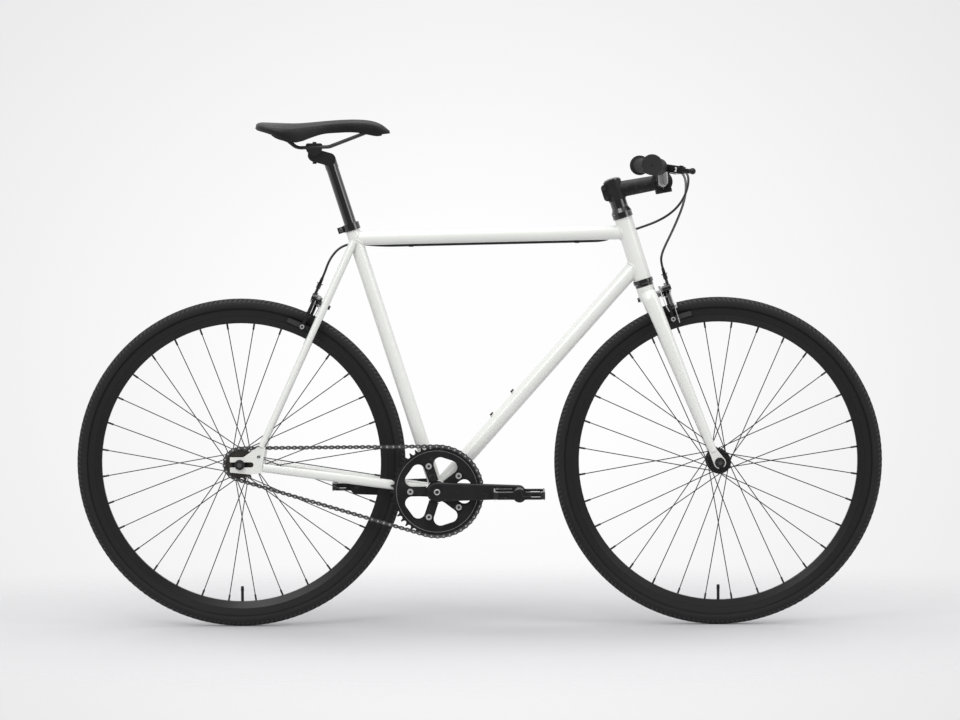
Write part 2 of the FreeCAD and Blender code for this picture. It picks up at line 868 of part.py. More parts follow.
def axle_set(centre, radius, width, plate):
    """Axle rod, two bearing cones inside the hub, washers and nuts outside the frame plates."""
    half = width / 2
    face = half + plate + axle_washer_thickness + axle_nut_length
    tip = face + axle_groove_length
    end = face + axle_overhang
    bar = joined([rod(centre - sideways * face, centre + sideways * face, radius),
                  rod(centre - sideways * tip, centre + sideways * tip, radius - axle_groove_depth),
                  rod(centre - sideways * end, centre - sideways * tip, radius - axle_tip_step),
                  rod(centre + sideways * tip, centre + sideways * end, radius - axle_tip_step)])
    pieces = [bar]
    for side in (-1, 1):
        out = sideways * side
        inside = centre + out * (half - 3 * cone_length)
        cone = rod(inside, centre + out * half, cone_radius).cut(bar)
        washer_at = centre + out * (half + plate)
        nut_at = washer_at + out * axle_washer_thickness
        washer = rod(washer_at, nut_at, axle_washer_radius).cut(bar)
        pieces += [cone, washer, hex_nut(nut_at, out, axle_nut_radius, axle_nut_length).cut(bar)]
    return pieces


def hex_nut(base, axis, radius, length):
    """Six-sided nut; radius reaches its corners."""
    across = unit(axis.cross(place(0.0, 0.0, 1.0)))
    upright = unit(axis.cross(across))
    corners = []
    for index in range(nut_sides):
        angle = index * 2 * math.pi / nut_sides
        corners.append(base + across * (radius * math.cos(angle)) + upright * (radius * math.sin(angle)))
    return Part.Face(Part.makePolygon(corners + corners[:1])).extrude(axis * length)


def make_rear_wheel():
    export("rear_tyre", make_tyre(rear_axle))
    export("rear_rim", make_rim(rear_axle))
    export("rear_valve", make_valve(rear_axle))
    export("rear_spokes", make_spokes(rear_axle, rear_flange_spread))
    bore = cone_radius + running_clearance
    shell_end = rear_hub_width - 2 * cone_length
    boss_end = chain_line + sprocket_thickness / 2 + lockring_width
    export("rear_hub", turned(hub_outline(rear_flange_spread, shell_end, bore, boss_end), rear_axle))
    export("rear_axle", axle_set(rear_axle, rear_axle_radius, rear_hub_width, track_end_thickness))


make_front_wheel()
make_rear_wheel()


# Drivetrain
def sprocket_wire(centre, teeth, radius, phase, depth):
    """Toothed outline in the XZ plane at a depth along Y: roller seats, flanks and flat tips."""
    seat = roller_radius + roller_seat_clearance
    half = math.radians(tooth_seat_half_angle)
    step = 2 * math.pi / teeth
    edges = []

    def polar(angle, distance, shift=0.0):
        out = place(math.cos(angle), 0.0, math.sin(angle))
        along = place(-math.sin(angle), 0.0, math.cos(angle))
        return centre + out * distance + along * shift + sideways * depth

    for index in range(teeth):
        angle = phase + index * step
        low, wide = seat * math.cos(half), seat * math.sin(half)
        first = polar(angle, radius - low, -wide)
        last = polar(angle, radius - low, wide)
        tip_a = polar(angle + step / 2, radius + tooth_height, -tooth_tip_half_width)
        tip_b = polar(angle + step / 2, radius + tooth_height, tooth_tip_half_width)
        following = polar(angle + step, radius - low, -wide)
        edges.append(Part.Arc(first, polar(angle, radius - seat), last).toShape())
        edges.append(Part.LineSegment(last, tip_a).toShape())
        edges.append(Part.LineSegment(tip_a, tip_b).toShape())
        edges.append(Part.LineSegment(tip_b, following).toShape())
    return Part.Wire(edges)


def chain_rollers():
    """Roller centres one pitch apart round both sprockets, with each sprocket's tooth phase."""
    along = unit(bracket - rear_axle)
    up = along.cross(sideways) * -1.0
    up = up if up.z > 0 else up * -1.0
    lean = math.asin((ring_radius - cog_radius) / chain_stay_length)
    top = up * math.cos(lean) - along * math.sin(lean)
    low = up * -math.cos(lean) - along * math.sin(lean)
    run = chain_stay_length * math.cos(lean) / chain_pitch
    on_cog = cog_teeth * (math.pi - 2 * lean) / (2 * math.pi)
    cog_start = math.atan2(top.z, top.x)
    ring_start = math.atan2(low.z, low.x)
    centres, phases = [], {}
    for index in range(chain_link_count):
        if index < run:
            share = index / run
            centres.append(bracket + top * ring_radius + (rear_axle + top * cog_radius
                                                          - bracket - top * ring_radius) * share)
        elif index < run + on_cog:
            angle = cog_start + (index - run) * 2 * math.pi / cog_teeth
            phases["cog"] = angle
            centres.append(rear_axle + place(math.cos(angle), 0.0, math.sin(angle)) * cog_radius)
        elif index < 2 * run + on_cog:
            share = (index - run - on_cog) / run
            centres.append(rear_axle + low * cog_radius + (bracket + low * ring_radius
                                                           - rear_axle - low * cog_radius) * share)
        else:
            angle = ring_start + (index - 2 * run - on_cog) * 2 * math.pi / chainring_teeth
            phases["ring"] = angle
            centres.append(bracket + place(math.cos(angle), 0.0, math.sin(angle)) * ring_radius)
    return centres, phases


def link_plate(inner_y, hole):
    """Waisted plate across one pitch, with its two holes."""
    half = chain_pitch / 2
    rise = chain_plate_half_height
    right = [(half + rise * math.cos(a), rise * math.sin(a)) for a in plate_corner_angles]
    outline = right + [(0.0, chain_plate_waist)] + [(-x, z) for x, z in reversed(right)]
    outline += [(0.0, -chain_plate_waist)]
    points = [place(x, inner_y, z) for x, z in outline]
    plate = Part.Face(Part.makePolygon(points + points[:1])).extrude(sideways * chain_plate_thickness)
    for x in (-half, half):
        foot = place(x, inner_y, 0.0)
        plate = plate.cut(rod(foot, foot + sideways * chain_plate_thickness, hole))
    return plate


plate_corner_angles = [math.radians(a) for a in (-112.0, -67.0, -22.0, 22.0, 67.0, 112.0)]


def inner_link():
    """Two plates fused to two bushed rollers."""
    half_width = chain_inner_width / 2
    bore = chain_pin_radius + chain_pin_clearance
    pieces = [link_plate(half_width, bore), link_plate(-half_width - chain_plate_thickness, bore)]
    for x in (-chain_pitch / 2, chain_pitch / 2):
        pieces.append(disc_ring(place(x, 0.0, 0.0), sideways, half_width, roller_radius, bore))
    return joined(pieces)


def outer_link():
    """Two plates fused to two riveted pins."""
    near = chain_inner_width / 2 + chain_plate_thickness + chain_plate_gap
    end = near + chain_plate_thickness + chain_pin_overhang
    pieces = [link_plate(near, chain_pin_radius), link_plate(-near - chain_plate_thickness, chain_pin_radius)]
    for x in (-chain_pitch / 2, chain_pitch / 2):
        pieces.append(rod(place(x, -end, 0.0), place(x, end, 0.0), chain_pin_radius))
    return joined(pieces)


def make_chain(centres):
    kinds = [inner_link(), outer_link()]
    links = []
    for index, centre in enumerate(centres):
        after = centres[(index + 1) % len(centres)]
        chord = after - centre
        turn = math.degrees(-math.atan2(chord.z, chord.x))
        link = kinds[index % 2].copy()
        middle = (centre + after) * 0.5 - sideways * chain_line
        link.Placement = FreeCAD.Placement(middle, FreeCAD.Rotation(sideways, turn))
        links.append(link)
    export("chain", links)


def make_cog(phase):
    face_y = -chain_line - sprocket_thickness / 2
    outline = sprocket_wire(rear_axle, cog_teeth, cog_radius, phase, face_y)
    plate = Part.Face(outline).extrude(sideways * sprocket_thickness)
    hub_rim = cog_radius - roller_radius - chain_plate_half_height
    inner_face = rear_flange_spread + hub_flange_thickness / 2
    shoulder = rod(rear_axle - sideways * (chain_line - sprocket_thickness / 2),
                   rear_axle - sideways * (inner_face + 2 * cog_spoke_room), min(hub_rim, lockring_radius))
    cog = joined([plate, shoulder])
    cog = cog.cut(rod(rear_axle, rear_axle - sideways * rear_hub_width / 2, cog_boss_radius))
    outer = rear_axle - sideways * (chain_line + sprocket_thickness / 2)
    lockring = rod(outer, outer - sideways * lockring_width, lockring_radius)
    lockring = lockring.cut(rod(outer, outer - sideways * lockring_width, cog_boss_radius))
    for index in range(lockring_notches):
        angle = index * 2 * math.pi / lockring_notches
        middle = outer + place(math.cos(angle), 0.0, math.sin(angle)) * lockring_radius
        lockring = lockring.cut(rod(middle, middle - sideways * lockring_width, lockring_width / 2))
    export("rear_cog", [cog, lockring])


def spider_places():
    """Angles of the spider's arms, set half a step off the crank arm."""
    step = 2 * math.pi / spider_arm_count
    return [step / 2 + index * step for index in range(spider_arm_count)]


def ring_window(foot, angle, thick):
    """Rounded three-cornered window between two arms of the spider."""
    swing = math.radians(window_half_angle)
    corners = []
    for turn in (angle - swing, angle + swing):
        corners.append(foot + place(math.cos(turn), 0.0, math.sin(turn)) * window_outer_place)
    tip = foot + place(math.cos(angle), 0.0, math.sin(angle)) * window_inner_place
    sides = [limb(corners[0], corners[1], window_outer_radius, window_outer_radius, thick)]
    sides += [limb(corner, tip, window_outer_radius, window_inner_radius, thick) for corner in corners]
    return joined(sides)


def make_chainring(phase):
    foot = bracket - sideways * (chain_line + sprocket_thickness / 2)
    disc = Part.Face(sprocket_wire(bracket, chainring_teeth, ring_radius, phase, foot.y))
    thick = sideways * sprocket_thickness
    ring = disc.extrude(thick).cut(rod(foot, foot + thick, chainring_inner_radius))
    for angle in spider_places():
        bolt = foot + place(math.cos(angle), 0.0, math.sin(angle)) * (spider_bolt_circle / 2)
        ring = ring.cut(rod(bolt, bolt + thick, chainring_bolt_radius))
        ring = ring.cut(ring_window(foot, angle + math.pi / spider_arm_count, thick))
    export("chainring", ring)


def crank_inner_face():
    return chain_line + sprocket_thickness / 2 + spider_thickness


def spindle_end(side):
    """Tapered square end of the bottom bracket spindle."""
    near = shell_width / 2 + cup_flange_width
    far = crank_inner_face() + crank_arm_thickness - crank_cap_height * 2
    wires = []
    for y, share in ((near, 1.0), (far, spindle_taper_share)):
        half = spindle_square * share / 2
        corners = [place(half, side * y, half), place(-half, side * y, half),
                   place(-half, side * y, -half), place(half, side * y, -half)]
        wires.append(Part.makePolygon([bracket + c for c in corners + corners[:1]]))
    return Part.makeLoft(wires, True, True)


def crank_arm_solid(side, direction, with_spider):
    """Forged arm with a flared run to the pedal eye, and the spider on the drive side."""
    out = sideways * side
    inner = bracket + out * crank_inner_face()
    eye = inner + place(direction * crank_length, 0.0, 0.0)
    arm = limb(inner, eye, crank_boss_radius, crank_eye_radius, out * crank_arm_thickness)
    rims = [e for e in arm.Edges if abs(e.CenterOfMass.y) > crank_inner_face() + crank_arm_thickness * crank_edge_share]
    arm = arm.makeFillet(crank_arm_thickness / 4, rims)
    lean = math.degrees(math.atan2(crank_flare, crank_length)) * side * direction
    arm.rotate(inner, place(0.0, 0.0, 1.0), lean)
    boss_foot = bracket + out * (shell_width / 2 + cup_flange_width + crank_boss_gap)
    pieces = [arm, rod(boss_foot, inner + out * crank_arm_thickness / 2, crank_boss_radius)]
    if with_spider:
        plate = bracket + out * (chain_line + sprocket_thickness / 2)
        thick = out * spider_thickness
        pieces.append(rod(plate, plate + thick, spider_hub_radius))
        for angle in spider_places():
            tip = plate + place(math.cos(angle), 0.0, math.sin(angle)) * (spider_bolt_circle / 2)
            pieces.append(limb(plate, tip, spider_arm_width, spider_tip_radius, thick))
    solid = joined(pieces)
    eye_foot = bracket + place(direction * crank_length, 0.0, 0.0)
    far = crank_inner_face() + crank_arm_thickness + crank_flare + cut_over
    solid = solid.cut(rod(eye_foot, eye_foot + out * far, pedal_axle_radius))
    cap_foot = inner + out * (crank_arm_thickness - crank_cap_height)
    solid = solid.cut(rod(cap_foot, cap_foot + out * cut_over, crank_cap_radius))
    solid = solid.cut(spindle_end(side))
    bolt_foot = bracket + out * (crank_inner_face() + crank_arm_thickness / 2)
    return solid.cut(rod(bolt_foot, cap_foot, spindle_square * spindle_taper_share / 2))


def make_crankset():
    holes = []
    for angle in spider_places():
        holes.append(bracket + place(math.cos(angle), 0.0, math.sin(angle)) * (spider_bolt_circle / 2))
    back = -(chain_line - sprocket_thickness / 2)
    front = -(chain_line + sprocket_thickness / 2 + spider_thickness)
    bolts = []
    right = crank_arm_solid(-1, 1, True)
    for hole in holes:
        shank = rod(hole + sideways * back, hole + sideways * front, chainring_bolt_radius)
        right = right.cut(shank)
        head = rod(hole + sideways * front, hole + sideways * (front - chainring_bolt_head_height),
                   chainring_bolt_head_radius)
        nut = rod(hole + sideways * back, hole + sideways * (back + chainring_bolt_head_height),
                  chainring_bolt_head_radius)
        bolts.append(joined([shank, head, nut]))
    export("chainring_bolts", bolts)
    left = crank_arm_solid(1, -1, False)
    export("crank_arm_right", right)
    export("crank_arm_left", left)
    half = shell_width / 2 + cup_flange_width
    middle = rod(bracket - sideways * half, bracket + sideways * half, spindle_radius)
    caps = []
    for side in (-1, 1):
        foot = bracket + sideways * side * (crank_inner_face() + crank_arm_thickness - crank_cap_height)
        caps.append(rod(foot, foot + sideways * side * crank_cap_height, crank_cap_radius))
    spindle = joined([middle, spindle_end(-1), spindle_end(1)])
    export("crank_spindle", [spindle] + caps)


def make_bottom_bracket():
    """Threaded cups with flanges, each holding a bearing ring round the spindle."""
    solids = []
    half = shell_width / 2
    for side in (-1, 1):
        out = sideways * side
        inner = bracket + out * (spindle_bearing_half - bearing_width)
        edge = bracket + out * half
        cup = joined([rod(inner, edge, shell_bore_radius),
                      rod(edge, edge + out * cup_flange_width, cup_flange_radius)])
        bore = spindle_radius + 2 * running_clearance
        seat = rod(inner, inner + out * bearing_width, bearing_radius)
        cup = cup.cut(seat).cut(rod(inner, edge + out * cut_over, bore + cup_clearance))
        bearing = seat.cut(rod(inner, inner + out * bearing_width, spindle_radius + running_clearance))
        solids += [cup, bearing]
    export("bottom_bracket_cups", solids)


centres, phases = chain_rollers()
make_chain(centres)
make_cog(phases["cog"])
make_chainring(phases["ring"])
make_crankset()
make_bottom_bracket()


# Pedals
def pedal_start():
    """Distance from the centre plane at which a pedal's inner face runs."""
    tilt = crank_eye_radius * crank_flare / crank_length
    return crank_inner_face() + crank_arm_thickness + crank_flare + tilt + pedal_axle_collar_length


def make_pedal_axle(side, direction):
    eye = bracket + place(direction * crank_length, 0.0, 0.0)
    out = sideways * side
    start = pedal_start()
    end = start + pedal_width - 2 * pedal_cap_height
    bar = rod(eye + out * (crank_inner_face() + crank_flare), eye + out * end, pedal_axle_radius)
    collar = rod(eye + out * (start - pedal_axle_collar_length), eye + out * start, pedal_axle_collar_radius)
    return joined([bar, collar])


def box_about(centre, x, y, z):
    """Box of full sizes x, y and z about a centre."""
    return Part.makeBox(x, y, z, centre - place(x / 2, y / 2, z / 2))


def make_pedal(side, direction):
    """Cast platform: a ring of rails round a bearing barrel, with slotted ends and grip studs."""
    out = sideways * side
    eye = bracket + place(direction * crank_length, 0.0, 0.0)
    start = pedal_start() + part_gap
    middle = eye + out * (start + pedal_width / 2)
    wall = pedal_rail_thickness
    ring = box_about(middle, pedal_length, pedal_width, pedal_height)
    corners = [e for e in ring.Edges if abs(e.tangentAt(e.FirstParameter).z) > mostly_share]
    ring = ring.makeChamfer(pedal_height / 2, corners)
    hollow = box_about(middle, pedal_length - 2 * wall, pedal_width - 2 * wall, pedal_height + cut_over)
    inner_corners = [e for e in hollow.Edges if abs(e.tangentAt(e.FirstParameter).z) > mostly_share]
    hollow = hollow.makeChamfer(pedal_height / 2, inner_corners)
    ring = ring.cut(hollow)
    slot_length = (pedal_length / 2 - pedal_cap_radius) / 2
    for end in (-1, 1):
        mid_slot = middle + place(end * (pedal_cap_radius + slot_length), 0.0, 0.0)
        ring = ring.cut(box_about(mid_slot, slot_length, pedal_width + cut_over, pedal_height / 3))
    near = eye + out * start
    far = eye + out * (start + pedal_width)
    barrel = rod(near, far, pedal_body_radius)
    spine = box_about(middle, pedal_length - wall, 2 * pedal_bridge_half, pedal_height / 2)
    cap_ring = rod(far - out * pedal_cap_height, far, pedal_cap_radius)
    studs = []
    for x in (-1, 1):
        for y in (-1, 1):
            at = middle + place(x * (pedal_length - wall) / 2, y * pedal_width / 4, 0.0)
            half = pedal_height / 2 + pedal_stud_height
            studs.append(rod(at - place(0.0, 0.0, half), at + place(0.0, 0.0, half), pedal_stud_radius))
    body = joined([ring, barrel, spine, cap_ring] + studs)
    bore_end = far - out * (2 * pedal_cap_height - part_gap)
    return body.cut(rod(near, bore_end, pedal_axle_radius + running_clearance))


export("pedal_axles", [make_pedal_axle(-1, 1), make_pedal_axle(1, -1)])
export("pedal_right", make_pedal(-1, 1))
export("pedal_left", make_pedal(1, -1))


# Fork, with two bent and tapered blades welded under the steerer
def blade_point(height, side, spread):
    ahead = blade_foot_ahead - blade_slope_share * height
    return on_steerer(height, ahead) + sideways * (side * spread)


def blade_spread(height):
    """Half spacing of the blades, narrowing from the axle to the crown."""
    axle_spread = front_hub_width / 2 + fork_end_thickness / 2
    share = height / crown_arch_height
    return axle_spread + (crown_spread - axle_spread) * share


def blade_oval(height, side, half_depth, half_width):
    """Oval section square to a blade, deepest fore and aft."""
    low = blade_point(height, side, blade_spread(height))
    high = blade_point(crown_arch_height, side, blade_spread(crown_arch_height))
    along = unit(high - low)
    ahead = unit(sideways.cross(along))
    across = unit(along.cross(ahead))
    return Part.Wire(Part.Ellipse(low + ahead * half_depth, low + across * half_width, low).toShape())


def make_fork():
    top = stem_top() - stem_cap_gap
    steerer = rod(on_steerer(crown_arch_height), on_steerer(top), steerer_radius)
    crown = rod(on_steerer(crown_arch_height - crown_width), on_steerer(axle_to_crown), crown_boss_radius)
    pieces = [steerer, crown]
    for side in (-1, 1):
        corner = blade_point(crown_arch_height, side, blade_spread(crown_arch_height))
        shoulder = blade_point(blade_shoulder_height, side, blade_spread(blade_shoulder_height))
        middle = on_steerer(crown_arch_height, blade_foot_ahead - blade_slope_share * crown_arch_height)
        section = blade_oval(blade_shoulder_height, side, crown_depth, crown_width)
        arch = route_wire([shoulder, corner, middle], crown_bend_radius)
        pieces.append(arch.makePipeShell([section], True, False))
        tip = blade_oval(blade_tip_height, side, blade_tip_depth, blade_tip_width)
        pieces.append(Part.makeLoft([section, tip], True, True))
        plate = sideways * (side * fork_end_thickness)
        inner = sideways * (side * front_hub_width / 2)
        low = blade_point(blade_tip_height, side, 0.0) + inner
        eye = front_axle + inner
        pieces.append(limb(low, eye, blade_tip_depth, fork_end_radius, plate))
    fork = joined(pieces)
    half_slot = front_axle_radius + slot_clearance
    mouth = front_axle - steer_up * (fork_end_radius + cut_over)
    width = front_hub_width + 2 * fork_end_thickness + 2 * cut_over
    slot = limb(front_axle - sideways * width / 2, mouth - sideways * width / 2, half_slot, half_slot,
                sideways * width)
    bore = rod(on_steerer(crown_arch_height - crown_width), on_steerer(top), steerer_radius - steerer_wall)
    bolt = rod(brake_bolt_start(), on_steerer(front_pivot_height, front_plane_offset), brake_bolt_radius)
    export("fork", fork.cut(slot).cut(bore).cut(bolt))


def brake_bolt_start():
    return on_steerer(front_pivot_height, -crown_depth - cut_over)


def stem_low():
    return head_high + upper_headset_height + spacer_height


def stem_top():
    return stem_low() + stem_clamp_height


def make_headset():
    """Pressed cups in the head tube; race, cover and spacers on the steerer."""
    insert = head_tube_radius - head_tube_wall
    bore = steerer_radius + running_clearance
    race_top = axle_to_crown + crown_race_height
    low_cup = [(race_top + part_gap, bore), (race_top + part_gap, cup_radius - cup_chamfer),
               (race_top + part_gap + cup_chamfer, cup_radius), (head_low, cup_radius),
               (head_low, insert), (head_low + cup_insert, insert), (head_low + cup_insert, bore)]
    cup_top = head_high + cup_height
    high_cup = [(head_high - cup_insert, bore), (head_high - cup_insert, insert), (head_high, insert),
                (head_high, cup_radius), (cup_top, cup_radius), (cup_top, bore)]
    export("headset_cups", [along_axis(low_cup, steer_foot, steer_up), along_axis(high_cup, steer_foot, steer_up)])
    race = [(axle_to_crown, steerer_radius), (axle_to_crown, cup_radius - cup_chamfer),
            (race_top, cup_radius - cup_chamfer), (race_top, steerer_radius)]
    cover_low = cup_top + part_gap
    cover_top = head_high + upper_headset_height
    cover = [(cover_low, steerer_radius), (cover_low, cup_radius + part_gap),
             (cover_low + cup_chamfer, cup_radius + part_gap), (cover_top, spacer_radius),
             (cover_top, steerer_radius)]
    export("headset_races", [along_axis(race, steer_foot, steer_up), along_axis(cover, steer_foot, steer_up)])
    rings = []
    each = spacer_height / spacer_count
    for index in range(spacer_count):
        foot = on_steerer(cover_top + index * each)
        rings.append(pipe_piece(foot, foot + steer_up * each, spacer_radius, spacer_radius - steerer_radius))
    export("headset_spacers", rings)


def stem_line():
    """Root of the stem on the steering axis, its direction, and the bar's centre."""
    root = on_steerer((stem_low() + stem_top()) / 2)
    rise = math.radians(90.0 - head_angle - stem_drop_angle)
    along = place(math.cos(rise), 0.0, math.sin(rise))
    return root, along, root + along * stem_length


def make_stem():
    root, along, bar = stem_line()
    upright = place(-along.z, 0.0, along.x)
    low, high = on_steerer(stem_low()), on_steerer(stem_top())
    clamp = rod(low, high, stem_clamp_radius)
    ear_at = root - steer_front * (stem_clamp_radius)
    ear = limb(ear_at - steer_up * pinch_bolt_spacing / 2 - sideways * stem_ear_width / 2,
               ear_at + steer_up * pinch_bolt_spacing / 2 - sideways * stem_ear_width / 2,
               stem_ear_radius, stem_ear_radius, sideways * stem_ear_width)
    sections = []
    for share, height, width in ((0.0, stem_height, stem_width), (1.0, stem_end_height, stem_width)):
        centre = root + along * (stem_length * share)
        sections.append(Part.Wire(Part.Ellipse(centre + upright * height, centre + sideways * width,
                                               centre).toShape()))
    beam = Part.makeLoft(sections, True, True)
    outer = bar_clamp_radius + faceplate_wall
    half = sideways * (bar_clamp_width / 2)
    collar = rod(bar - half, bar + half, outer)
    lugs, bolts, pockets = [], [], []
    for up in (-1, 1):
        for side in (-1, 1):
            axis_at = bar + upright * (up * (outer - stem_bolt_radius)) + sideways * (side * bar_clamp_width / 3)
            lugs.append(rod(axis_at - along * outer * lug_back_share, axis_at + along * outer * lug_front_share, stem_bolt_head_radius))
            shank = rod(axis_at - along * outer * thread_share, axis_at + along * outer * lug_front_share, stem_bolt_radius)
            head_foot = axis_at + along * outer * lug_front_share
            head = rod(head_foot, head_foot + along * stem_bolt_head_height, stem_bolt_head_radius)
            pockets += [shank, head]
            bolts.append(joined([shank, head]))
    body = joined([clamp, ear, beam, collar] + lugs)
    body = body.cut(rod(bar - half * 2, bar + half * 2, bar_clamp_radius))
    body = body.cut(rod(low, high, steerer_radius))
    slit = Part.makeBox(2 * stem_clamp_radius, pinch_slit, 2 * stem_clamp_height)
    slit.translate(place(-2 * stem_clamp_radius, -pinch_slit / 2, -stem_clamp_height))
    slit.Placement = FreeCAD.Placement(root, steer_turn()).multiply(slit.Placement)
    body = body.cut(slit)
    for pocket in pockets:
        body = body.cut(pocket)
    for up in (-1, 1):
        middle = ear_at - steer_front * stem_ear_radius * pinch_inset_share + steer_up * (up * pinch_bolt_spacing / 2)
        shank = rod(middle - sideways * stem_ear_width / 2, middle + sideways * stem_ear_width / 2,
                    stem_bolt_radius)
        body = body.cut(shank)
        head_foot = middle - sideways * stem_ear_width / 2
        head = rod(head_foot, head_foot - sideways * stem_bolt_head_height, stem_bolt_head_radius)
        bolts.append(joined([shank, head]))
    front = Part.makeBox(4 * outer, 4 * outer, 4 * outer)
    front.translate(place(faceplate_gap / 2, -2 * outer, -2 * outer))
    turn = FreeCAD.Rotation(place(1.0, 0.0, 0.0), along)
    front.Placement = FreeCAD.Placement(bar, turn).multiply(front.Placement)
    faceplate = body.common(front)
    gap_front = front.copy()
    gap_front.translate(along * -faceplate_gap)
    export("stem", body.cut(gap_front))
    export("stem_faceplate", faceplate)
    cap_profile = [(stem_top(), 0.0), (stem_top(), stem_clamp_radius - cup_chamfer),
                   (stem_top() + stem_cap_height / 2, stem_clamp_radius - cup_chamfer),
                   (stem_top() + stem_cap_height, stem_clamp_radius / 2), (stem_top() + stem_cap_height, 0.0)]
    export("stem_cap", along_axis(cap_profile, steer_foot, steer_up))
    export("stem_bolts", bolts)


def steer_turn():
    """Rotation that lays X ahead of the steering axis and Z along it."""
    return FreeCAD.Rotation(sideways, head_angle - 90.0)


def bar_point(y, back, up):
    root, along, bar = stem_line()
    return bar + place(-back, y, up)


def bar_ends(side):
    """Outer bend and outer end of one side of the handlebar."""
    bend = bar_point(side * bar_rise_end, bar_rise_sweep, bar_rise)
    end = bar_point(side * bar_half_width, bar_rise_sweep + bar_end_sweep, bar_rise + bar_end_rise)
    return bend, end


def make_bar_and_grips():
    root, along, bar = stem_line()
    route = []
    for side in (-1, 1):
        bend, end = bar_ends(side)
        inward = unit(bend - end)
        points = [end + inward * grip_cap, bend, bar_point(side * bar_straight, 0.0, 0.0)]
        route += points if side < 0 else list(reversed(points))
    tube = swept(route, bar_radius, bar_bend_radius)
    grip_half = bar_clamp_width / 2
    tip = bar_radius - cup_clearance
    bulge = turned([(-grip_half - bar_taper, 0.0), (-grip_half - bar_taper, tip),
                    (-grip_half, bar_clamp_radius), (grip_half, bar_clamp_radius),
                    (grip_half + bar_taper, tip), (grip_half + bar_taper, 0.0)], bar)
    export("handlebar", joined([tube, bulge]))
    export("grips", [make_grip(side) for side in (-1, 1)])


def make_grip(side):
    """Closed rubber sleeve with an end flange and rings along its length."""
    bend, end = bar_ends(side)
    inward = unit(bend - end)
    outline = [(0.0, 0.0), (0.0, grip_flange_radius - grip_rib_depth), (grip_rib_depth, grip_flange_radius),
               (grip_flange_width, grip_flange_radius), (grip_flange_width + grip_rib_depth, grip_radius)]
    first = grip_flange_width + 2 * grip_rib_depth
    pitch = (grip_length - grip_flange_width - first) / grip_rib_count
    crest_share, dip_share, rise_share = grip_rib_shares
    for index in range(grip_rib_count):
        foot = first + index * pitch
        outline += [(foot + pitch * crest_share, grip_radius), (foot + pitch * dip_share, grip_radius - grip_rib_depth),
                    (foot + pitch * rise_share, grip_radius - grip_rib_depth), (foot + pitch, grip_radius)]
    outline += [(grip_length - grip_flange_width / 2, grip_radius + grip_rib_depth),
                (grip_length, grip_radius + grip_rib_depth), (grip_length, bar_radius),
                (grip_cap, bar_radius), (grip_cap, 0.0)]
    return along_axis(outline, end, inward)


make_fork()
make_headset()
make_stem()
make_bar_and_grips()


# Brake levers
def lever_frame(side):
    """Bar centre under a lever clamp, with outboard, forward and upward directions there."""
    bend, end = bar_ends(side)
    outboard = unit(end - bend)
    seat = end - outboard * (grip_length + lever_grip_gap + lever_clamp_width / 2)
    dip = math.radians(lever_drop_angle)
    ahead = place(math.cos(dip), 0.0, -math.sin(dip))
    forward = unit(ahead - outboard * ahead.dot(outboard))
    upward = unit(forward.cross(outboard))
    if upward.z < 0:
        upward = upward * -1.0
    return seat, outboard, forward, upward


def lever_pivot(side):
    seat, outboard, forward, upward = lever_frame(side)
    return seat + forward * lever_reach + outboard * lever_pivot_out


def lever_barrel(side):
    """Two ends of the barrel adjuster on a lever body, inner end first."""
    seat, outboard, forward, upward = lever_frame(side)
    root = seat + forward * (lever_reach - lever_pivot_out) - outboard * lever_pivot_radius
    return root, root - outboard * lever_barrel_length + forward * lever_barrel_length / 3


def make_lever_clamp(side):
    """Clamp band, slotted body, pivot pin and barrel adjuster of one lever."""
    seat, outboard, forward, upward = lever_frame(side)
    pivot = lever_pivot(side)
    band = bar_radius + lever_clamp_wall
    half = outboard * (lever_clamp_width / 2)
    depth = lever_thickness + 2 * part_gap + 2 * lever_fork_wall
    base = upward * (-depth / 2)
    body = limb(seat + base, pivot + base, band, lever_hub_radius, upward * depth)
    barrel_a, barrel_b = lever_barrel(side)
    pieces = [rod(seat - half, seat + half, band), body, rod(barrel_a, barrel_b, lever_barrel_radius)]
    solid = joined(pieces).cut(rod(seat - half * 3, seat + half * 3, bar_radius))
    gap = lever_thickness + 2 * part_gap
    slot_root = seat + forward * (lever_reach - lever_hub_radius - lever_slot_room)
    corner_a = slot_root - outboard * lever_slot_span
    corner_b = slot_root + outboard * lever_slot_span
    outline = [corner_a, corner_b, corner_b + forward * lever_slot_span, corner_a + forward * lever_slot_span]
    low = upward * (-gap / 2)
    points = [p + low for p in outline]
    slot = Part.Face(Part.makePolygon(points + points[:1])).extrude(upward * gap)
    solid = solid.cut(slot)
    pin = rod(pivot - upward * (depth / 2), pivot + upward * (depth / 2), lever_pivot_radius)
    head = rod(pivot + upward * (depth / 2), pivot + upward * (depth / 2 + lever_pin_head), lever_hub_radius / 2)
    return [solid.cut(pin), joined([pin, head])]


def make_lever(side):
    """Blade that runs out in front of the grip, with a round hub and a ball end."""
    seat, outboard, forward, upward = lever_frame(side)
    pivot = lever_pivot(side)
    low = upward * (-lever_thickness / 2)
    thick = upward * lever_thickness
    knee = pivot + outboard * lever_knee_out + forward * lever_knee_reach
    tip = pivot + outboard * lever_blade_length + forward * lever_blade_reach
    pieces = [limb(pivot + low, knee + low, lever_hub_radius, lever_blade_radius, thick),
              limb(knee + low, tip + low, lever_blade_radius, lever_blade_end_radius, thick),
              Part.makeSphere(lever_tip_radius, tip)]
    bore = rod(pivot + low * 2, pivot + thick, lever_pivot_radius + running_clearance)
    return joined(pieces).cut(bore)


left_clamp = make_lever_clamp(1)
right_clamp = [solid.mirror(Vector(), sideways) for solid in left_clamp]
export("brake_lever_clamps", right_clamp + left_clamp)
export("brake_lever_right", make_lever(-1))
export("brake_lever_left", make_lever(1))


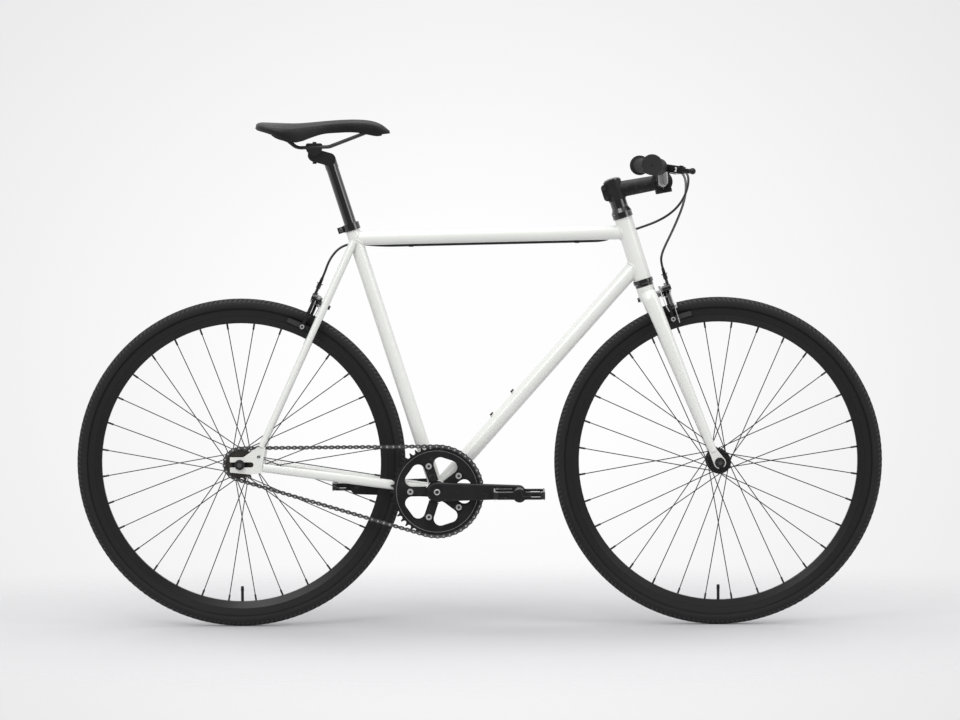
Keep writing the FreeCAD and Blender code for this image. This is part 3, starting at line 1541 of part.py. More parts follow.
# Brake calipers, drawn with X away from the frame, Y across and Z up from the centre pivot
def caliper_limbs(route, radii, face):
    """Curved arm: tapered bars end to end through a route of (across, up) points."""
    thick = place(brake_arm_thickness, 0.0, 0.0)
    points = [place(face, y, z) for y, z in route]
    pieces = []
    for start, end, wide, narrow in zip(points, points[1:], radii, radii[1:]):
        pieces.append(limb(start, end, wide, narrow, thick))
    return pieces


def brake_shoe(side, drop, arm_middle):
    """Pad beside the rim with the bolt that holds it to its arm."""
    face = rim_width / 2 + brake_pad_gap
    back = face + brake_pad_thickness
    pad = box_about(place(brake_pad_forward, side * (face + back) / 2, -drop), brake_pad_length,
                    brake_pad_thickness, brake_pad_height)
    upright = [e for e in pad.Edges if abs(e.tangentAt(e.FirstParameter).y) > mostly_share]
    pad = pad.makeFillet(brake_pad_height / 3, upright)
    outside = brake_arm_spread + brake_arm_radius
    at = place(arm_middle, 0.0, -drop)
    shank = rod(at + sideways * side * back, at + sideways * side * outside, shoe_bolt_radius)
    head = rod(at + sideways * side * outside, at + sideways * side * (outside + shoe_bolt_head_height),
               shoe_bolt_head_radius)
    return pad, joined([shank, head])


def caliper(drop, stem_back):
    """Bracket, inner arm and outer arm of a dual-pivot caliper, each a list of solids."""
    inner_face = -brake_arm_gap / 2 - brake_arm_thickness
    outer_face = brake_arm_gap / 2
    arm_end = (-brake_arm_spread, -drop)
    side_pivot = place(0.0, brake_side_pivot, brake_side_rise)
    bore = brake_bolt_radius + running_clearance

    boss = place(0.0, -cable_side, barrel_boss_height)
    inner = caliper_limbs([(0.0, 0.0), (-brake_arm_spread, -brake_shoulder_drop), arm_end],
                          [brake_pivot_radius, brake_arm_radius, brake_arm_radius], inner_face)
    inner += caliper_limbs([(0.0, 0.0), (boss.y, boss.z)], [brake_pivot_radius, brake_arm_radius], inner_face)
    inner.append(rod(boss + place(inner_face, 0.0, 0.0), boss + place(boss_reach, 0.0, 0.0), brake_arm_radius))
    shoe, shoe_bolt = brake_shoe(-1, drop, inner_face + brake_arm_thickness / 2)
    barrel_foot = boss + place(cable_plane, 0.0, -brake_arm_radius)
    barrel_head = boss + place(cable_plane, 0.0, barrel_high)
    barrel = joined([rod(barrel_foot, barrel_head, barrel_radius),
                     rod(barrel_head - place(0.0, 0.0, barrel_flange_thickness), barrel_head,
                         barrel_flange_radius)])
    barrel = barrel.cut(rod(barrel_foot, barrel_head, barrel_bore_radius))
    inner_arm = joined(inner).cut(rod(place(-cut_over * 3, 0.0, 0.0), place(cut_over, 0.0, 0.0), bore))
    inner_arm = inner_arm.cut(rod(barrel_foot, barrel_head, barrel_radius)).cut(shoe_bolt)

    outer = caliper_limbs([(brake_side_pivot, brake_side_rise), (brake_arm_spread, -brake_shoulder_drop),
                           (brake_arm_spread, -drop)],
                          [brake_pivot_radius, brake_arm_radius, brake_arm_radius], outer_face)
    anchor = place(0.0, -cable_side, -anchor_drop)
    outer += caliper_limbs([(brake_side_pivot, brake_side_rise), (brake_pivot_radius / 4, 2 * brake_side_rise),
                            (-cable_side / 2, -brake_arm_radius / 2), (anchor.y, anchor.z)],
                           [brake_pivot_radius, brake_arm_radius, brake_arm_radius, brake_arm_radius], outer_face)
    pad, pad_bolt = brake_shoe(1, drop, outer_face + brake_arm_thickness / 2)
    outer_top = outer_face + brake_arm_thickness
    washer_foot = outer_top + 2 * (wire_radius + part_gap)
    anchor_shank = rod(anchor + place(outer_top, 0.0, 0.0), anchor + place(washer_foot, 0.0, 0.0),
                       shoe_bolt_radius)
    anchor_head = rod(anchor + place(washer_foot, 0.0, 0.0),
                      anchor + place(washer_foot + shoe_bolt_head_height, 0.0, 0.0), brake_arm_radius)
    hole = rod(side_pivot - place(cut_over, 0.0, 0.0), side_pivot + place(cut_over * 3, 0.0, 0.0), bore)
    outer_arm = joined(outer).cut(hole).cut(pad_bolt)

    plate_face = inner_face - part_gap - brake_plate_thickness
    plate = limb(place(plate_face, 0.0, 0.0), side_pivot + place(plate_face, 0.0, 0.0), brake_pivot_radius,
                 brake_pivot_radius * plate_taper_share, place(brake_plate_thickness, 0.0, 0.0))
    centre_bolt = rod(place(-stem_back, 0.0, 0.0), place(-brake_arm_gap / 2, 0.0, 0.0), brake_bolt_radius)
    side_bolt = joined([
        rod(side_pivot + place(plate_face, 0.0, 0.0), side_pivot + place(outer_top + part_gap, 0.0, 0.0),
            brake_bolt_radius),
        rod(side_pivot + place(outer_top + part_gap, 0.0, 0.0),
            side_pivot + place(outer_top + shoe_bolt_head_height, 0.0, 0.0), brake_pivot_radius * brake_washer_share)])
    bracket_solid = joined([plate, centre_bolt, side_bolt])
    return ([bracket_solid], [inner_arm, barrel, shoe, shoe_bolt],
            [outer_arm, pad, pad_bolt, joined([anchor_shank, anchor_head])])


def caliper_placement(pivot, out, up):
    across = up.cross(out)
    matrix = FreeCAD.Matrix(out.x, across.x, up.x, pivot.x, out.y, across.y, up.y, pivot.y,
                            out.z, across.z, up.z, pivot.z)
    return FreeCAD.Placement(matrix)


def pad_drop(pivot, out, up, axle):
    """Drop from the pivot at which the pad's middle meets the rim's braking band."""
    band = (rim_track_radius + rim_outer_radius) / 2
    foot = pivot + out * brake_pad_forward - axle
    along = foot.dot(up)
    aside = foot.dot(out)
    return along - math.sqrt(band ** 2 - aside ** 2)


def front_caliper_place():
    return on_steerer(front_pivot_height, front_plane_offset), steer_front, steer_up, front_axle


def rear_caliper_place():
    return bridge_centre() + stay_out() * brake_plane_offset, stay_out(), stay_up(), rear_axle


def make_caliper(name, where, mount_depth, first, second):
    pivot, out, up, axle = where
    drop = pad_drop(pivot, out, up, axle)
    bracket_set, inner_set, outer_set = caliper(drop, mount_depth)
    inner_face = -brake_arm_gap / 2 - brake_arm_thickness
    seat_face = inner_face - part_gap - brake_plate_thickness
    rest = brake_spacer_end(name)
    spacer = rod(place(-rest, 0.0, 0.0), place(seat_face, 0.0, 0.0), brake_pivot_radius * brake_washer_share)
    bolt = bracket_set[0].common(rod(place(-rest, 0.0, 0.0), place(seat_face, 0.0, 0.0), brake_bolt_radius))
    nut_foot = place(-mount_depth, 0.0, 0.0)
    nut = rod(nut_foot, nut_foot - place(shoe_bolt_head_height, 0.0, 0.0), brake_bolt_radius * brake_nut_share)
    sets = [bracket_set + [spacer.cut(bolt), nut], inner_set, outer_set]
    placement = caliper_placement(pivot, out, up)
    for node, solids in zip((name + "_brake_bracket", name + "_brake_arm_" + first,
                             name + "_brake_arm_" + second), sets):
        for solid in solids:
            solid.Placement = placement.multiply(solid.Placement)
        export(node, solids)


def brake_spacer_end(name):
    """Distance behind the caliper plane at which its spacer meets the crown or the bridge."""
    if name == "front":
        return front_plane_offset - crown_boss_radius
    return brake_plane_offset - bridge_radius


make_caliper("front", front_caliper_place(), front_plane_offset + crown_boss_radius, "right", "left")
make_caliper("rear", rear_caliper_place(), brake_plane_offset + bridge_radius, "left", "right")


# Brake cables: housing along its route, then bare wire through the barrel to its anchor
rear_cable_loop = [(420.0, -95.0, 936.5), (428.0, -70.0, 925.0), (428.0, -45.0, 905.0), (421.0, -22.0, 882.0),
                   (408.0, -3.0, 862.0), (390.0, 12.0, 846.0), (369.0, 22.0, 834.0), (346.0, 26.5, 825.0),
                   (322.0, 27.0, 817.0), (298.0, 25.5, 808.5), (275.0, 20.0, 800.5)]
rear_cable_tail = [(-225.0, 21.5, 787.0), (-250.0, 27.0, 789.5), (-272.0, 28.0, 788.5),
                   (-290.0, 27.0, 780.0), (-303.5, 25.5, 765.5), (-313.0, 24.0, 748.5)]
front_cable_loop = [(420.0, 95.0, 936.5), (428.5, 72.0, 926.0), (430.0, 50.0, 907.0), (427.0, 31.0, 885.0),
                    (419.0, 15.0, 860.0), (408.0, 2.0, 835.0), (396.0, -9.5, 810.0), (384.0, -17.5, 787.0),
                    (375.5, -22.0, 768.0)]


def under_top_tube(x):
    """Centre of the housing where it lies against the lower left of the top tube."""
    top_a = on_seat_tube(top_tube_seat_height)
    top_b = on_steerer(head_high - top_tube_head_drop)
    share = (x - top_a.x) / (top_b.x - top_a.x)
    centre = top_a + (top_b - top_a) * share
    reach = top_tube_radius + housing_radius + part_gap
    return centre + place(0.0, cable_shift, -math.sqrt(reach ** 2 - cable_shift ** 2))


def caliper_point(where, x, y, z):
    pivot, out, up, axle = where
    return caliper_placement(pivot, out, up).multVec(place(x, y, z))


def bare_wire(where):
    """Wire from the top of the barrel, past the anchor bolt, to its loose tail."""
    lean = shoe_bolt_radius + wire_radius + part_gap
    front = brake_arm_gap / 2 + brake_arm_thickness + wire_radius + part_gap
    route = [(cable_plane, -cable_side, barrel_boss_height + barrel_high),
             (cable_plane, -cable_side, barrel_boss_height - brake_arm_radius),
             (front, -cable_side - lean, brake_arm_radius / 2 - anchor_drop),
             (front, -cable_side - lean, -anchor_drop - wire_tail)]
    return swept([caliper_point(where, *p) for p in route], wire_radius)


def housing_end(where, lift):
    """Point above the barrel's mouth, on its axis."""
    return caliper_point(where, cable_plane, -cable_side, barrel_boss_height + barrel_high + lift)


def make_cables():
    ends = []
    for side, loop, where in ((-1, rear_cable_loop, rear_caliper_place()),
                              (1, front_cable_loop, front_caliper_place())):
        route = [lever_barrel(side)[1]] + [place(*p) for p in loop]
        if side < 0:
            aside = place(0.0, cable_aside, 0.0)
            route += [under_top_tube(clip_front_x + cable_lead) + aside, under_top_tube(clip_front_x)]
            route += [under_top_tube(clip_rear_x), under_top_tube(clip_rear_x - cable_lead) + aside]
            route += [place(*p) for p in rear_cable_tail]
        route += [housing_end(where, barrel_approach), housing_end(where, 0.0)]
        housing = swept(route, housing_radius)
        ferrule = rod(housing_end(where, 0.0), housing_end(where, ferrule_length), ferrule_radius)
        ends.append([joined([housing, ferrule]), bare_wire(where)])
    export("rear_brake_cable", ends[0])
    export("front_brake_cable", ends[1])
    clips = []
    top_a = on_seat_tube(top_tube_seat_height)
    top_b = on_steerer(head_high - top_tube_head_drop)
    tube = rod(top_a, top_b, top_tube_radius)
    for x in (clip_front_x - clip_inset, clip_rear_x + clip_inset):
        ring = disc_ring(under_top_tube(x), top_b - top_a, clip_width / 2, housing_radius + clip_wall, housing_radius + cup_clearance)
        clips.append(ring.cut(tube))
    export("cable_clips", clips)


make_cables()


# Seat collar and seatpost
def make_collar():
    top = on_seat_tube(seat_tube_length)
    low = on_seat_tube(seat_tube_length + collar_lip - collar_height)
    high = on_seat_tube(seat_tube_length + collar_lip)
    ear_middle = (low + high) * 0.5 + seat_back * (collar_radius + collar_ear_length / 2 - collar_lip)
    ear = Part.makeBox(collar_ear_length, collar_ear_width, collar_height * collar_ear_share)
    ear.translate(place(-collar_ear_length / 2, -collar_ear_width / 2, -collar_height * collar_ear_share / 2))
    ear.Placement = FreeCAD.Placement(ear_middle, FreeCAD.Rotation(sideways, seat_angle - 90.0)).multiply(ear.Placement)
    solid = joined([rod(low, high, collar_radius), ear])
    solid = solid.cut(rod(low, top, seat_tube_radius))
    solid = solid.cut(rod(top, high, seatpost_radius + part_gap))
    slit_foot = low - seat_up * cut_over
    slit = limb(slit_foot, high + seat_up * cut_over, seat_slot_width / 2, seat_slot_width / 2,
                seat_back * (collar_radius + collar_ear_length + cut_over))
    solid = solid.cut(slit)
    half = sideways * (collar_ear_width / 2)
    shank = rod(ear_middle - half, ear_middle + half, collar_bolt_radius)
    heads = []
    for side in (-1, 1):
        foot = ear_middle + half * side
        heads.append(rod(foot, foot + sideways * (side * collar_bolt_radius), collar_bolt_head_radius))
    export("seat_collar", [solid.cut(shank), joined([shank] + heads)])


def saddle_pivot():
    """Tilt axis of the saddle, on the line of its rails."""
    return on_seat_tube(seat_tube_length + seatpost_exposed + clamp_rise, clamp_setback)


def make_seatpost():
    low = on_seat_tube(seat_tube_length - seatpost_insertion)
    high = on_seat_tube(seat_tube_length + seatpost_exposed)
    pivot = saddle_pivot()
    width = sideways * (2 * post_head_radius)
    seat_at = pivot - place(0.0, 0.0, clamp_seat_radius * clamp_seat_share)
    knuckle = limb(high - sideways * post_head_radius, seat_at - sideways * post_head_radius, post_head_radius,
                   post_head_radius, width)
    sleeve = rod(high - seat_up * post_head_height, high, post_head_radius)
    post = joined([rod(low, high, seatpost_radius), sleeve, knuckle])
    post = post.cut(rod(low, high - seat_up * post_head_height, seatpost_radius - seatpost_wall))
    half = sideways * (clamp_half_width + cut_over)
    post = post.cut(rod(pivot - half, pivot + half, clamp_seat_radius + cup_clearance))
    bolt_foot = seat_at - place(0.0, 0.0, post_head_radius)
    bolt = rod(bolt_foot + place(0.0, 0.0, collar_bolt_radius), bolt_foot - place(0.0, 0.0, collar_bolt_head_radius),
               collar_bolt_head_radius).cut(post)
    export("seatpost", [post, bolt])


def make_saddle_clamp(rails):
    """Lower half-round cradle and upper plate that grip both rails, with their bolts."""
    pivot = saddle_pivot()
    half = sideways * clamp_half_width
    block = 4 * clamp_half_width
    lower = rod(pivot - half, pivot + half, clamp_seat_radius)
    lower = lower.common(box_about(pivot - place(0.0, 0.0, block / 2 + part_gap), block, block, block))
    upper = box_about(pivot + place(0.0, 0.0, part_gap + clamp_plate_height / 2), clamp_length,
                      2 * clamp_half_width, clamp_plate_height)
    ridge = [e for e in upper.Edges if abs(e.tangentAt(e.FirstParameter).y) > mostly_share and e.CenterOfMass.z > pivot.z + clamp_plate_height / 2]
    upper = upper.makeChamfer(clamp_plate_height / 3, ridge)
    bolt_low = pivot - place(0.0, 0.0, clamp_seat_radius / 2)
    bolt_high = pivot + place(0.0, 0.0, part_gap + clamp_plate_height)
    shank = rod(bolt_low, bolt_high, clamp_bolt_radius)
    head = rod(bolt_high, bolt_high + place(0.0, 0.0, clamp_bolt_radius), collar_bolt_head_radius)
    solids = [lower.cut(shank), upper.cut(shank)]
    for rail in rails:
        solids = [solid.cut(rail) for solid in solids]
    export("saddle_clamp", solids + [joined([shank, head])])


# Saddle, as sections from the rear edge to the nose: place along the length, half width,
# top, shoulder and skirt heights below the crown, all as shares
saddle_station_shares = [
    (0.0, 0.60, 0.16, 0.30, 0.44), (0.045, 0.82, 0.11, 0.30, 0.52), (0.125, 0.95, 0.13, 0.36, 0.68),
    (0.236, 1.0, 0.157, 0.42, 1.0), (0.32, 0.88, 0.16, 0.40, 0.97), (0.42, 0.62, 0.115, 0.34, 0.76),
    (0.52, 0.41, 0.06, 0.26, 0.59), (0.63, 0.315, 0.018, 0.20, 0.55), (0.74, 0.285, 0.0, 0.19, 0.55),
    (0.86, 0.265, 0.055, 0.25, 0.70), (0.94, 0.225, 0.23, 0.40, 0.66), (1.0, 0.11, 0.52, 0.57, 0.62),
]
saddle_pad_share = 0.33
saddle_skirt_width_share = 0.95


def saddle_section(station, pad):
    """Crowned top, swelling sides and an arched underside, at one place along the saddle."""
    along, width_share, top_share, shoulder_share, skirt_share = station
    crown = saddle_pivot() + place(along * saddle_length - saddle_rear_reach, 0.0, saddle_rise)
    half = saddle_width / 2 * width_share
    top = -top_share * saddle_depth
    shoulder = -shoulder_share * saddle_depth
    skirt = -skirt_share * saddle_depth
    under = max(top - pad, skirt + pad * least_arch_share)
    foot = half * saddle_skirt_width_share

    def at(y, z):
        return crown + place(0.0, y, z)

    bulge = half + (half - foot) * saddle_bulge_share
    edges = [
        Part.Arc(at(-half, shoulder), at(0.0, top), at(half, shoulder)).toShape(),
        Part.Arc(at(half, shoulder), at(bulge, (shoulder + skirt) / 2), at(foot, skirt)).toShape(),
        Part.Arc(at(foot, skirt), at(0.0, under), at(-foot, skirt)).toShape(),
        Part.Arc(at(-foot, skirt), at(-bulge, (shoulder + skirt) / 2), at(-half, shoulder)).toShape(),
    ]
    return Part.Wire(edges)


def base_section(station):
    """Thin moulded shell that lies against the arched underside."""
    along, width_share, top_share, shoulder_share, skirt_share = station
    crown = saddle_pivot() + place(along * saddle_length - saddle_rear_reach, 0.0, saddle_rise)
    pad = saddle_pad_share * saddle_depth
    top = -top_share * saddle_depth
    skirt = -skirt_share * saddle_depth - saddle_base_gap
    under = max(top - pad, skirt + pad * least_arch_share) - saddle_base_gap
    foot = saddle_width / 2 * width_share * saddle_skirt_width_share * base_width_share
    rise = (under - skirt) * (1.0 - base_width_share ** 2)
    edge = skirt + rise

    def at(y, z):
        return crown + place(0.0, y, z)

    low = saddle_base_thickness
    edges = [
        Part.Arc(at(-foot, edge), at(0.0, under), at(foot, edge)).toShape(),
        Part.LineSegment(at(foot, edge), at(foot, edge - low)).toShape(),
        Part.Arc(at(foot, edge - low), at(0.0, under - low), at(-foot, edge - low)).toShape(),
        Part.LineSegment(at(-foot, edge - low), at(-foot, edge)).toShape(),
    ]
    return Part.Wire(edges)


def rail_route(side):
    """One rail from its rear socket, along the clamp, to the nose."""
    pivot = saddle_pivot()
    points = []
    for ahead, aside, rise in rail_points:
        points.append(pivot + place(ahead, side * aside, rise))
    return points


def make_saddle():
    pad = saddle_pad_share * saddle_depth
    cover = Part.makeLoft([saddle_section(s, pad) for s in saddle_station_shares], True, False)
    export("saddle_cover", cover)
    rails = [swept(rail_route(side), rail_radius, rail_bend_radius).cut(cover) for side in (-1, 1)]
    base = Part.makeLoft([base_section(s) for s in saddle_station_shares[2:-1]], True, False)
    for rail in rails:
        base = base.cut(rail)
    export("saddle_base", base)
    export("saddle_rails", rails)
    make_saddle_clamp(rails)


make_collar()
make_seatpost()
make_saddle()
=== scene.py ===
import math

import bmesh
import bpy
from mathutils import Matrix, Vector


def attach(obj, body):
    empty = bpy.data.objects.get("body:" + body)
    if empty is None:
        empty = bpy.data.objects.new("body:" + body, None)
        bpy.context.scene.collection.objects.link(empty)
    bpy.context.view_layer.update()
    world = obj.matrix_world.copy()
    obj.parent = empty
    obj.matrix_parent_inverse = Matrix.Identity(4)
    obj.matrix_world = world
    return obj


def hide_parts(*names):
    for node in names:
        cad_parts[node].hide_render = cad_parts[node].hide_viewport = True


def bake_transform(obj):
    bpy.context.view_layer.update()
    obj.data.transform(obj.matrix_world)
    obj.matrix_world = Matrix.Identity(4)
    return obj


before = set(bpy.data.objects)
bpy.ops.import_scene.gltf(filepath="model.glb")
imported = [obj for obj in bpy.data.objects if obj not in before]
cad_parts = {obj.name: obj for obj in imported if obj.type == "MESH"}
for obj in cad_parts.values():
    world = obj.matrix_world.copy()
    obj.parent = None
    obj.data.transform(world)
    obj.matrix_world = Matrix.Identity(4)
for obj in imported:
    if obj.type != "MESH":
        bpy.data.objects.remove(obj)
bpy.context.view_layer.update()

bl_info = {
    "name": "Fixed gear bicycle",
    "version": (1, 0, 0),
    "blender": (4, 5, 0),
    "location": "View3D > Sidebar > Bicycle",
    "description": "Finishes, saddle, cables, weld beads and studio of a fixed gear bicycle",
    "category": "Object",
}

# Every material by a short name, filled by the first operator
FINISH = {}

# All lengths are metres: x runs forwards, y to the rider's left and z up from the floor
RIGHT = (0.0, -1.0, 0.0)
LEFT = (0.0, 1.0, 0.0)
SIDES = {"right": -1, "left": 1}
UP_THE_STEERER = (-0.2974, 0.0, 0.9548)
OUT_OF_FACEPLATE = (0.984, 0.0, 0.178)
OUT_OF_DOWN_TUBE = (-0.746, 0.0, 0.666)

# Wheels and drive, as the CAD has them; link plates and rivets lie to either side of the chain line
WHEELBASE = 0.985
AXLE_HEIGHT = 0.339
TYRE_WIDTH = 0.028
AXLES = {"front": (WHEELBASE / 2, 0.0, AXLE_HEIGHT), "rear": (-WHEELBASE / 2, 0.0, AXLE_HEIGHT)}
AXLE_TIP_RADIUS = 0.0056
CRANK_CENTRE = (-0.0884, 0.0, 0.281)
CRANK_LENGTH = 0.168
CHAIN_LINE = 0.0435
LINK_PLATE_OFFSET = 0.0028
RIVET_OFFSET = 0.00405

# Tread blocks: how many to a side, their leans from the crown in radians, root and height,
# and the shares of the pitch that a block fills and that it slants by from one lean to the next
TREAD_BLOCKS = 150
TREAD_LEANS = (0.32, 0.55, 0.80)
TREAD_ROOT = 0.0006
TREAD_HEIGHT = 0.0005
TREAD_FILL_SHARE = 0.45
TREAD_SLANT_SHARE = 0.3

# Brake housings from lever to caliper, and their bare wires from caliper to wire end
REAR_HOUSING = [
    (0.40845, -0.11567, 0.93845), (0.42, -0.095, 0.9365), (0.428, -0.07, 0.925), (0.428, -0.045, 0.905),
    (0.421, -0.022, 0.882), (0.408, -0.003, 0.862), (0.39, 0.012, 0.846), (0.369, 0.022, 0.834),
    (0.346, 0.0265, 0.825), (0.322, 0.027, 0.817), (0.298, 0.0255, 0.8085), (0.275, 0.02, 0.8005),
    (0.254, 0.0112, 0.79396), (0.222, 0.004, 0.79334), (-0.16, 0.004, 0.78606), (-0.192, 0.0112, 0.78545),
    (-0.225, 0.0215, 0.787), (-0.25, 0.027, 0.7895), (-0.272, 0.028, 0.7885), (-0.29, 0.027, 0.78),
    (-0.3035, 0.0255, 0.7655), (-0.313, 0.024, 0.7485), (-0.31904, 0.023, 0.73044),
    (-0.32895, 0.023, 0.70858)]
FRONT_HOUSING = [
    (0.40845, 0.11567, 0.93845), (0.42, 0.095, 0.9365), (0.4285, 0.072, 0.926), (0.43, 0.05, 0.907),
    (0.427, 0.031, 0.885), (0.419, 0.015, 0.86), (0.408, 0.002, 0.835), (0.396, -0.0095, 0.81),
    (0.384, -0.0175, 0.787), (0.3755, -0.022, 0.768), (0.37315, -0.023, 0.75011), (0.38029, -0.023, 0.72719)]
REAR_WIRE = [(-0.32895, 0.023, 0.70858), (-0.34381, 0.023, 0.67579), (-0.35669, 0.0269, 0.64759),
             (-0.37279, 0.0269, 0.61207)]
FRONT_WIRE = [(0.38029, -0.023, 0.72719), (0.39099, -0.023, 0.69282), (0.4003, -0.0269, 0.66325),
              (0.4119, -0.0269, 0.62602)]
CABLES = {"rear": {"body": "frame", "housing": REAR_HOUSING, "wire": REAR_WIRE},
          "front": {"body": "steering", "housing": FRONT_HOUSING, "wire": FRONT_WIRE}}
# Ferrules, whose radii are shares of the housing's width, and the wire cap's steps from its tip with radii
FERRULE_LENGTH = 0.011
FERRULE_SHARE = 0.66
FERRULE_MOUTH_SHARE = 0.56
WIRE_CAP = [(0.010, 0.0012), (0.0095, 0.0014), (0.006, 0.0014), (0.0055, 0.0012), (0.0005, 0.0013),
            (0.0, 0.0009)]

# Calipers: the body that carries each, its pivot, the way out of its face, its hand and its cable anchor
CALIPERS = {
    "front": {"body": "steering", "pivot": (0.38462, 0.0, 0.68874), "out": (0.95476, 0.0, 0.29737), "hand": 1,
              "anchor": (0.4012, -0.023, 0.66039)},
    "rear": {"body": "frame", "pivot": (-0.33798, 0.0, 0.67095), "out": (-0.91083, 0.0, 0.41278), "hand": -1,
             "anchor": (-0.35793, 0.023, 0.64486)}}
# Where an arm is pad rubber or bright bolt: limits to the side, in radius from the axle, and at the anchor
PAD_INNER_SIDE = 0.0192
PAD_RADII = (0.298, 0.321)
PAD_BOLT_SIDE = 0.0319
PAD_BOLT_RADII = (0.300, 0.319)
ANCHOR_FACE = 0.0009
ANCHOR_RADIUS = 0.0075
# The return spring's route from the pivot, as steps out, across and up
SPRING = [(-0.0085, -0.004, 0.006), (-0.0100, -0.016, 0.011), (-0.0110, -0.030, 0.006),
          (-0.0110, -0.037, -0.012), (-0.0095, -0.038, -0.030), (-0.0060, -0.0375, -0.040)]
# How far out of the pivot the nut and the washers sit, and each washer's radius
NUT_PLACE = 0.0072
WASHERS = {"inner": (-0.0158, 0.0078), "outer": (-0.0125, 0.0064)}

# Steps of height and radius of the turned pieces; a washer has one radius at both heights
CALIPER_NUT = [(-0.0012, 0.0056), (0.0028, 0.0056), (0.0034, 0.0050)]
WASHER_HEIGHTS = (-0.0008, 0.0008)
ADJUSTER_SLEEVE = [(0.0022, 0.0036), (0.0025, 0.0046), (0.0120, 0.0046), (0.0123, 0.0036)]
CRANK_BOLT = [(0.0, 0.0066), (0.0008, 0.0066), (0.0012, 0.0060), (0.0016, 0.0059), (0.0018, 0.0054)]
COLLAR_BOLT_HEAD = [(-0.0004, 0.0042), (0.00006, 0.0042), (0.00006, 0.002)]
# The grip end's darker disc is painted shade for its dimple
GRIP_DIMPLE_SHADE = [(-0.0005, 0.0016), (0.0001, 0.0016), (0.0001, 0.0004)]

# Bolts on the crank's axis and round it, with the first one's angle in degrees, and on the seat collar
CRANK_BOLT_SEAT = 0.0624
CRANK_SOCKET_RADIUS = 0.0042
CHAINRING_BOLTS = 5
CHAINRING_BOLT_CIRCLE = 0.055
CHAINRING_BOLT_FACE = 0.05115
CHAINRING_FIRST_BOLT = 36.0
CHAINRING_SOCKET_RADIUS = 0.003
COLLAR_BOLT_FACE = (-0.2844, -0.0085, 0.8179)
# The right grip's end is this point mirrored, as is the way out of it
GRIP_END = (0.34249, 0.27342, 0.95012)
OUT_OF_GRIP = (-0.17, 0.985, 0.03)

# Hex sockets, dark marks of painted shade in place of the shaded hollows: how deep they start,
# how far they show, and how much of their width the hollow's end has
SOCKET_ROOT = 0.0004
SOCKET_FACE = 0.00012
SOCKET_END_SHARE = 0.2
# Name after socket_, body, middle of the bolt head's face, the way out of it and radius
SOCKETS = [
    ("stem_low", "steering", (0.2621, -0.017, 0.882), RIGHT, 0.0024),
    ("stem_high", "steering", (0.2561, -0.017, 0.9011), RIGHT, 0.0024),
    ("face_low_right", "steering", (0.3963, -0.0153, 0.9004), OUT_OF_FACEPLATE, 0.0024),
    ("face_low_left", "steering", (0.3963, 0.0153, 0.9004), OUT_OF_FACEPLATE, 0.0024),
    ("face_high_right", "steering", (0.3894, -0.0153, 0.9385), OUT_OF_FACEPLATE, 0.0024),
    ("face_high_left", "steering", (0.3894, 0.0153, 0.9385), OUT_OF_FACEPLATE, 0.0024),
    ("stem_cap", "steering", (0.2726, 0.0, 0.9205), UP_THE_STEERER, 0.0030),
    ("collar", "frame", COLLAR_BOLT_FACE, RIGHT, 0.0024),
    ("bottle_low", "frame", (0.0232, 0.0, 0.4389), OUT_OF_DOWN_TUBE, 0.0023),
    ("bottle_high", "frame", (0.0658, 0.0, 0.4866), OUT_OF_DOWN_TUBE, 0.0023),
    ("front_pad_left", "front_outer_arm", (0.4047, 0.03605, 0.6355), LEFT, 0.0026),
    ("front_pad_right", "front_inner_arm", (0.3984, -0.03605, 0.6335), RIGHT, 0.0026),
    ("rear_pad_left", "rear_inner_arm", (-0.3584, 0.03605, 0.6179), LEFT, 0.0026),
    ("rear_pad_right", "rear_outer_arm", (-0.3644, -0.03605, 0.6206), RIGHT, 0.0026),
    ("front_anchor", "front_outer_arm", (0.4061, -0.023, 0.6621), (0.9548, 0.0, 0.2974), 0.0027),
    ("rear_anchor", "rear_outer_arm", (-0.3626, 0.023, 0.6471), (-0.9108, 0.0, 0.4128), 0.0027)]

# Saddle: its tilt pivot, then along it from its back the place, half width, crown, shoulder and skirt,
# as shares of its sizes
SADDLE_PIVOT = (-0.33815, 0.0, 0.98852)
SADDLE_STATION_SHARES = [
    (0.0, 0.46, 0.22, 0.30, 0.38), (0.012, 0.66, 0.15, 0.30, 0.46), (0.045, 0.82, 0.115, 0.30, 0.53),
    (0.125, 0.95, 0.13, 0.36, 0.68), (0.236, 1.0, 0.157, 0.42, 1.0), (0.32, 0.88, 0.16, 0.40, 0.97),
    (0.42, 0.62, 0.115, 0.34, 0.76), (0.52, 0.41, 0.06, 0.26, 0.59), (0.63, 0.315, 0.018, 0.20, 0.55),
    (0.74, 0.285, 0.0, 0.19, 0.55), (0.86, 0.265, 0.055, 0.25, 0.70), (0.94, 0.225, 0.23, 0.40, 0.66),
    (1.0, 0.11, 0.52, 0.57, 0.62)]
# Places along the saddle where its cover has a ring of points, closer together at both ends
SADDLE_RING_SHARES = (
    0.0, 0.015, 0.035, 0.06, 0.09, 0.13, 0.18, 0.236, 0.29, 0.34, 0.39, 0.44, 0.49, 0.55, 0.61, 0.67, 0.73,
    0.79, 0.84, 0.885, 0.92, 0.95, 0.975, 0.99, 1.0)
# Round one half of a ring: out from the middle, and down from crown to shoulder or from shoulder to skirt
CROWN_SHARES = ((0.34, 0.09), (0.64, 0.33), (0.87, 0.66), (0.985, 1.02))
SKIRT_SHARES = ((1.01, 0.4), (0.985, 0.75))
# The cover's lower edge, and the hollow under it, as shares of half width and depth with their limits
FOOT_SHARE = 0.95
EDGE_THICKNESS = 0.0022
EDGE_THICKNESS_SHARE = 0.2
HOLLOW_SHARE = 0.33
HOLLOW_RISE = 0.0045
HOLLOW_SIDE_SHARES = (0.6, 0.64)
# The lowest point of a ring's half, counted from its crown, which carries the welt
WELT_POINT = 8

